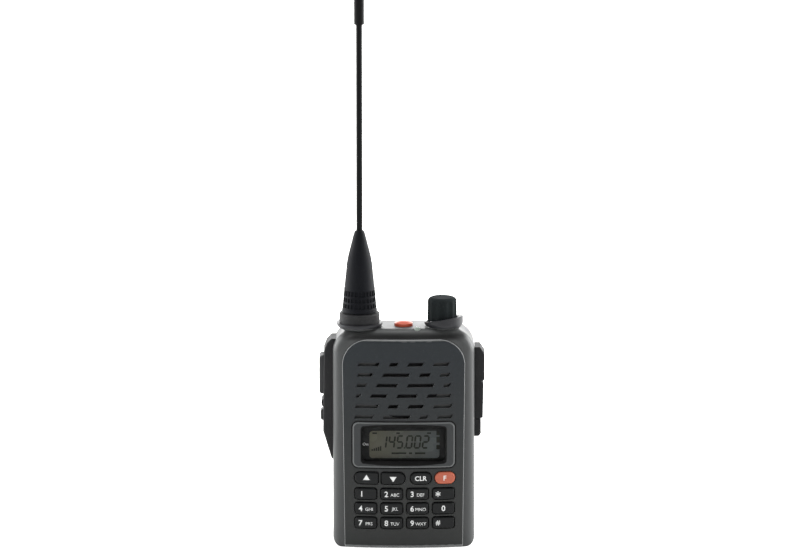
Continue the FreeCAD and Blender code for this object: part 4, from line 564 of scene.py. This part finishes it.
def print_keys():
    """Signs on the key faces."""
    for key in KEYS:
        low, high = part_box(key)
        across = (low.x + high.x) / 2
        up = (low.z + high.z) / 2
        mark = key.split("_")[1]
        jobs = []
        if mark in ("up", "down"):
            jobs.append((triangle(mark == "down"), across, up))
        elif mark == "clear":
            jobs.append((lettering(key, "CLR", CLEAR_SIZE, PRINT_DEPTH, BOLD), across, up))
        elif mark == "function":
            jobs.append((lettering(key, "F", FUNCTION_SIZE, PRINT_DEPTH, HALF_BOLD), across, up))
        else:
            sign, share = SIGN_SIZES.get(mark, (mark, 1.0))
            shift = SIGN_SHIFTS.get(mark, SIGN_SHIFT)
            jobs.append((lettering(key, sign, DIGIT_SIZE * share, PRINT_DEPTH, BOLD), across + shift, up))
            if key in LETTERS:
                jobs.append((lettering(key, LETTERS[key], SMALL_SIZE, PRINT_DEPTH),
                             across + SMALL_SHIFT[0], up + SMALL_SHIFT[1]))
        for number, (mesh, x, z) in enumerate(jobs):
            lay_on_bow(mesh, x, z, KEY_FACE, PRINT_DEPTH)
            piece(f"{key}_print_{number}", mesh, white_print, key)


# Display

def plate(shape, across, up, depth):
    """Adds a block between bounds on each axis to a bmesh."""
    made = bmesh.ops.create_cube(shape, size=1.0)["verts"]
    for bounds, letter in ((across, 0), (depth, 1), (up, 2)):
        for vertex in made:
            vertex.co[letter] = bounds[0] if vertex.co[letter] < 0 else bounds[1]


SEGMENT_ENDS = {
    "a": ((0, 1), (1, 1)), "b": ((1, 0.5), (1, 1)), "c": ((1, 0), (1, 0.5)), "d": ((0, 0), (1, 0)),
    "e": ((0, 0), (0, 0.5)), "f": ((0, 0.5), (0, 1)), "g": ((0, 0.5), (1, 0.5)),
}
LIT = {"0": "abcdef", "1": "bc", "2": "abged", "3": "abgcd", "4": "fgbc", "5": "afgcd", "6": "afgedc",
       "7": "abc", "8": "abcdefg", "9": "abcdfg"}


def segment(shape, start, end, thickness, depth):
    """Adds a bar with pointed ends to a bmesh."""
    start, end = Vector(start), Vector(end)
    run = end - start
    length = run.length - thickness * 0.25
    made = bmesh.ops.create_cube(shape, size=1.0)["verts"]
    bmesh.ops.scale(shape, verts=made, vec=(length, depth, thickness))
    tips = [edge for edge in {e for v in made for e in v.link_edges}
            if abs(edge.verts[0].co.x - edge.verts[1].co.x) < 1e-9
            and abs(edge.verts[0].co.z - edge.verts[1].co.z) < 1e-9]
    grown = bmesh.ops.bevel(shape, geom=tips, offset=thickness * 0.45, affect="EDGES", segments=1,
                            profile=0.5, material=-1)
    made = list({v for f in grown["faces"] for v in f.verts} | {v for v in made if v.is_valid})
    angle = math.atan2(run.y, run.x)
    bmesh.ops.rotate(shape, verts=made, cent=(0, 0, 0), matrix=Matrix.Rotation(-angle, 3, "Y"))
    middle = (start + end) / 2
    bmesh.ops.translate(shape, verts=made, vec=(middle.x, 0, middle.y))


# Number on the display: each digit's box, their distance, the first one's corner, and the strokes
LCD_NUMBER = "145002"
LCD_WHOLE = 3
LCD_WIDTH, LCD_HEIGHT, LCD_PITCH = 2.15 * MM, 5.0 * MM, 3.35 * MM
LCD_LEFT, LCD_FOOT = -9.6 * MM, DISPLAY_LEVEL - 2.0 * MM
LCD_STROKE = 0.7 * MM
LCD_DEPTH = 0.05 * MM
LCD_SLANT = 0.12
LCD_POINT = 0.5 * MM

# Bars of the signal, each a step higher than the last
SIGNAL_BARS = 5
SIGNAL_LEFT = -13.2 * MM
SIGNAL_PITCH = 0.85 * MM
SIGNAL_WIDTH = 0.6 * MM
SIGNAL_STEP = 0.3 * MM

# Other marks: left, right, foot and top from the display's middle, in millimetres
LCD_MARKS = (
    (13.4, 14.9, 3.4, 5.7), (13.4, 14.9, 0.2, 2.6), (13.4, 14.9, -2.6, -0.8),
    (-12.8, -11.0, 3.9, 4.5), (-3.0, -1.6, 3.9, 4.5), (9.6, 11.2, 3.9, 4.5),
    (-5.0, 1.0, -4.6, -3.9), (2.2, 3.4, -4.6, -3.9), (4.6, 8.8, -4.6, -3.9),
)


def display_digits(face):
    """Numbers, bars and marks of the display, as a thin layer on its glass."""
    shape = bmesh.new()
    foot, depth = LCD_FOOT, LCD_DEPTH
    for place, digit in enumerate(LCD_NUMBER):
        past_point = LCD_POINT if place >= LCD_WHOLE else 0.0
        origin = Vector((LCD_LEFT + LCD_PITCH * place + past_point, foot))
        for name in LIT[digit]:
            ends = []
            for across, up in SEGMENT_ENDS[name]:
                slant = LCD_SLANT * up * LCD_HEIGHT
                ends.append(origin + Vector((across * LCD_WIDTH + slant, up * LCD_HEIGHT)))
            segment(shape, ends[0], ends[1], LCD_STROKE, depth)
    point = LCD_LEFT + LCD_PITCH * LCD_WHOLE
    marks = [(point - 0.35 * MM, point + 0.2 * MM, foot - 0.25 * MM, foot + 0.3 * MM)]
    for bar in range(SIGNAL_BARS):
        start = SIGNAL_LEFT + bar * SIGNAL_PITCH
        marks.append((start, start + SIGNAL_WIDTH, foot - 1.2 * MM, foot - 0.5 * MM + bar * SIGNAL_STEP))
    for left, right, low, high in LCD_MARKS:
        marks.append((left * MM, right * MM, DISPLAY_LEVEL + low * MM, DISPLAY_LEVEL + high * MM))
    for left, right, low, high in marks:
        plate(shape, (left, right), (low, high), (-depth / 2, depth / 2))
    bmesh.ops.translate(shape, verts=shape.verts, vec=(0, face - depth / 2 - 0.005 * MM, 0))
    from_bmesh("display_digits", shape, lcd_dark, "radio", smooth=False)


def rounded_loop(shape, half_width, half_height, radius):
    """Edges of a rounded rectangle in the plane of the display, round the origin."""
    made = bmesh.ops.create_grid(shape, x_segments=1, y_segments=1, size=1.0)["verts"]
    bmesh.ops.scale(shape, verts=made, vec=(half_width, half_height, 1.0))
    bmesh.ops.rotate(shape, verts=made, cent=(0, 0, 0), matrix=Matrix.Rotation(math.pi / 2, 3, "X"))
    bmesh.ops.bevel(shape, geom=made, offset=radius, affect="VERTICES", segments=8, profile=0.5, material=-1)
    bmesh.ops.delete(shape, geom=shape.faces[:], context="FACES_ONLY")
    return shape.edges[:]


# Opening of the printed border: half of each side, its corners and its place off the window's middle
OPENING_HALF = (14.4 * MM, 5.75 * MM)
OPENING_CORNER = 1.5 * MM
OPENING_SHIFT = Vector((0.3, 0, -0.5)) * MM
MASK_MARGIN = Vector((0.1, 0, 0.1)) * MM
MASK_DEPTH = 0.05 * MM
MASK_GAP = 0.03 * MM


def window_mask(level_y, window_low, window_high):
    """Black printed border behind the window, with a rounded opening."""
    shape = bmesh.new()
    half_width, half_height = OPENING_HALF
    inner = rounded_loop(shape, half_width, half_height, OPENING_CORNER)
    grown = bmesh.ops.extrude_edge_only(shape, edges=inner)["geom"]
    outer = [item for item in grown if isinstance(item, bmesh.types.BMVert)]
    reach = (window_high - window_low) / 2 - MASK_MARGIN
    bmesh.ops.scale(shape, verts=outer, vec=(reach.x / half_width, 1.0, reach.z / half_height))
    bmesh.ops.translate(shape, verts=outer, vec=-OPENING_SHIFT)
    grown = bmesh.ops.extrude_face_region(shape, geom=shape.faces[:])["geom"]
    moved = [item for item in grown if isinstance(item, bmesh.types.BMVert)]
    bmesh.ops.translate(shape, verts=moved, vec=(0, MASK_DEPTH, 0))
    bmesh.ops.translate(shape, verts=shape.verts, vec=Vector((0, level_y, DISPLAY_LEVEL)) + OPENING_SHIFT)
    from_bmesh("window_mask", shape, mask_black, "radio", smooth=False)


LOCK_SIDE = -16.2 * MM
LOCK_DROP = 0.3 * MM
LOCK_DEPTH = 0.04 * MM
LOCK_LAP = 0.015 * MM


def lock_mark(level_y):
    """Small key-shaped mark of the lock function, printed beside the display."""
    shape = bmesh.new()
    depth = LOCK_DEPTH
    ring = bmesh.ops.create_circle(shape, cap_ends=True, segments=16, radius=0.65 * MM)["verts"]
    bmesh.ops.rotate(shape, verts=ring, cent=(0, 0, 0), matrix=Matrix.Rotation(math.pi / 2, 3, "X"))
    bmesh.ops.inset_region(shape, faces=shape.faces[:], thickness=0.3 * MM, use_boundary=True)
    hole = [face for face in shape.faces if all(math.hypot(v.co.x, v.co.z) < 0.5 * MM for v in face.verts)]
    bmesh.ops.delete(shape, geom=hole, context="FACES")
    grown = bmesh.ops.extrude_face_region(shape, geom=shape.faces[:])
    moved = [item for item in grown["geom"] if isinstance(item, bmesh.types.BMVert)]
    bmesh.ops.translate(shape, verts=moved, vec=(0, depth, 0))
    plate(shape, (0.55 * MM, 1.7 * MM), (-0.17 * MM, 0.17 * MM), (0, depth))
    for tooth in (0.85 * MM, 1.4 * MM):
        plate(shape, (tooth, tooth + 0.3 * MM), (-0.65 * MM, -0.12 * MM), (0, depth))
    bmesh.ops.translate(shape, verts=shape.verts, vec=(LOCK_SIDE, level_y, DISPLAY_LEVEL - LOCK_DROP))
    from_bmesh("lock_mark", shape, faint_print, "radio", smooth=False)


def build_display():
    """What lies behind the window."""
    display_digits(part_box("lcd_glass")[0].y)
    window_low, window_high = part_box("display_window")
    window_mask(window_high.y + MASK_GAP, window_low, window_high)
    lock_mark(window_high.y - LOCK_LAP)


# Antenna foot

# Radius and height above the foot of each ring of the outline, in millimetres
BOOT_OUTLINE = ((2.55, 0.0), (7.0, 0.0), (7.2, 0.2), (7.15, 1.2), (6.95, 1.45))
BOOT_UPPER = ((6.3, 9.9), (6.2, 10.3), (6.0, 11.8), (5.82, 13.8), (5.6, 15.8), (5.42, 17.8), (5.2, 20.0),
              (4.88, 22.0), (4.5, 23.8), (4.05, 25.6), (3.6, 27.4), (3.15, 29.2), (2.75, 30.8), (2.38, 32.2),
              (2.1, 33.1), (1.8, 33.65), (1.29, 33.8))
POCKET_ROWS = ((1.95, 3.75), (4.45, 6.2), (6.95, 9.15))
POCKETS_ROUND = 26
POCKET_STEPS = 4
POCKET_DEPTH = 0.4 * MM
BAND_RADIUS = 7.1
BAND_TAPER = 0.085


def build_boot():
    """Tapered rubber foot with three rows of small pockets round its lower part."""
    low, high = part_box("antenna_boot")
    spot = Vector(((low.x + high.x) / 2, (low.y + high.y) / 2, 0))
    foot = low.z
    segments = POCKETS_ROUND * POCKET_STEPS
    radii = list(BOOT_OUTLINE)
    for row in POCKET_ROWS:
        radii += [(BAND_RADIUS - BAND_TAPER * height, height) for height in row]
    radii += BOOT_UPPER
    shape = bmesh.new()
    line = [shape.verts.new((r * MM, 0, foot + h * MM)) for r, h in radii]
    edges = [shape.edges.new(pair) for pair in zip(line, line[1:])]
    bmesh.ops.spin(shape, geom=line + edges, cent=(0, 0, 0), axis=(0, 0, 1), angle=2 * math.pi,
                   steps=segments, use_merge=True)
    pockets = []
    for face in shape.faces:
        middle = face.calc_center_median()
        height = (middle.z - foot) / MM
        turn = int(math.atan2(middle.y, middle.x) / (2 * math.pi) * segments + segments)
        in_row = any(row_low < height < row_high for row_low, row_high in POCKET_ROWS)
        if in_row and math.hypot(middle.x, middle.y) > 5 * MM and turn % POCKET_STEPS:
            pockets.append(face)
    region = bmesh.ops.extrude_face_region(shape, geom=pockets)
    sunk = [v for v in region["geom"] if isinstance(v, bmesh.types.BMVert)]
    bmesh.ops.delete(shape, geom=[f for f in pockets if f.is_valid], context="FACES")
    for vertex in sunk:
        radius = math.hypot(vertex.co.x, vertex.co.y)
        share = 1 - POCKET_DEPTH / radius
        vertex.co.x *= share
        vertex.co.y *= share
    bmesh.ops.translate(shape, verts=shape.verts, vec=spot)
    boot = from_bmesh("boot_rubber", shape, antenna_rubber, "antenna")
    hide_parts("antenna_boot")


# Catch


def build_catch_spring():
    """The spring under the pack's catch, as a piece of its own copied from the solid, which is hidden."""
    spring = piece("catch_coil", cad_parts["latch_spring"].data.copy(), plated, "radio")
    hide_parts("latch_spring")
    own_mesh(spring)


# Stage

def floor_material():
    """White that is brighter where the camera or a reflection sees it."""
    material = bpy.data.materials.new("floor_white")
    material.use_nodes = True
    tree = material.node_tree
    tree.nodes.clear()
    out = add(tree, "ShaderNodeOutputMaterial", 800)
    paint = add(tree, "ShaderNodeBsdfDiffuse", 0, 100)
    paint.inputs["Color"].default_value = (0.82, 0.82, 0.82, 1)
    glow = add(tree, "ShaderNodeEmission", 0, -100)
    glow.inputs["Color"].default_value = (1, 1, 1, 1)
    both = add(tree, "ShaderNodeAddShader", 250)
    link(tree, paint.outputs[0], both.inputs[0])
    link(tree, glow.outputs[0], both.inputs[1])
    path = add(tree, "ShaderNodeLightPath", -700)
    seen = maths(tree, "MAXIMUM", path.outputs["Is Camera Ray"],
                 maths(tree, "MAXIMUM", path.outputs["Is Glossy Ray"], path.outputs["Is Transmission Ray"],
                       -500, -100), -300)
    link(tree, maths(tree, "MULTIPLY", seen, 0.55, -150, -200), glow.inputs["Strength"])
    link(tree, both.outputs[0], out.inputs["Surface"])
    return material


# Name, place, width, height and power of each lamp
LAMPS = (
    ("back_wall", (0.0, 1.7, 0.55), 2.4, 0.9, 33.0),
    ("left_wall", (-1.2, 0.3, 0.35), 1.2, 1.0, 36.0),
    ("right_wall", (1.2, 0.4, 0.35), 1.2, 1.0, 50.0),
    ("overhead", (0.0, 0.15, 1.5), 1.0, 0.8, 16.0),
    ("front_left", (-1.0, -1.0, 1.1), 0.7, 0.7, 9.0),
    ("front_right", (1.1, -0.9, 0.7), 0.6, 0.8, 5.0),
)
LAMP_AIM = Vector((0.0, 0.0, 0.08))


def build_stage():
    """White floor and world, and the lamps."""
    shape = bmesh.new()
    bmesh.ops.create_grid(shape, x_segments=1, y_segments=1, size=3.0)
    mesh = bpy.data.meshes.new("floor")
    shape.to_mesh(mesh)
    shape.free()
    floor = bpy.data.objects.new("floor", mesh)
    mesh.materials.append(floor_material())
    scene.collection.objects.link(floor)
    world = bpy.data.worlds.new("studio")
    scene.world = world
    world.use_nodes = True
    tree = world.node_tree
    tree.nodes.clear()
    out = add(tree, "ShaderNodeOutputWorld", 600)
    shine = add(tree, "ShaderNodeBackground", 200)
    path = add(tree, "ShaderNodeLightPath", -700)
    seen = maths(tree, "MAXIMUM", path.outputs["Is Camera Ray"], path.outputs["Is Transmission Ray"], -400)
    link(tree, spread(tree, seen, 0.0, 1.0, 0.3, 1.0, -150), shine.inputs["Strength"])
    shine.inputs["Color"].default_value = (1, 1, 1, 1)
    link(tree, shine.outputs[0], out.inputs["Surface"])
    for name, spot, width, height, power in LAMPS:
        data = bpy.data.lights.new(name, "AREA")
        data.shape = "RECTANGLE"
        data.size, data.size_y, data.energy = width, height, power
        lamp = bpy.data.objects.new(name, data)
        lamp.location = spot
        lamp.rotation_mode = "QUATERNION"
        lamp.rotation_quaternion = (LAMP_AIM - Vector(spot)).to_track_quat("-Z", "Y")
        scene.collection.objects.link(lamp)


CAMERA_TARGET = Vector((-1.45 * MM, -8.5 * MM, 112.65 * MM))
CAMERA_DISTANCE = 5.0
CAMERA_ELEVATION = math.radians(12.0)
CAMERA_ROLL = math.radians(-0.06)
CAMERA_LENS = 549.5


def build_camera():
    """Long lens, far away and a little above the radio."""
    data = bpy.data.cameras.new("camera")
    data.lens = CAMERA_LENS
    camera = bpy.data.objects.new("camera", data)
    back = Vector((0.0, -math.cos(CAMERA_ELEVATION), math.sin(CAMERA_ELEVATION)))
    camera.location = CAMERA_TARGET + back * CAMERA_DISTANCE
    camera.rotation_mode = "QUATERNION"
    camera.rotation_quaternion = (-back).to_track_quat("-Z", "Y") @ Quaternion((0, 0, 1), CAMERA_ROLL)
    scene.collection.objects.link(camera)
    scene.camera = camera


build_camera()
finish_cad()
print_keys()
build_display()
build_boot()
build_catch_spring()
build_stage()
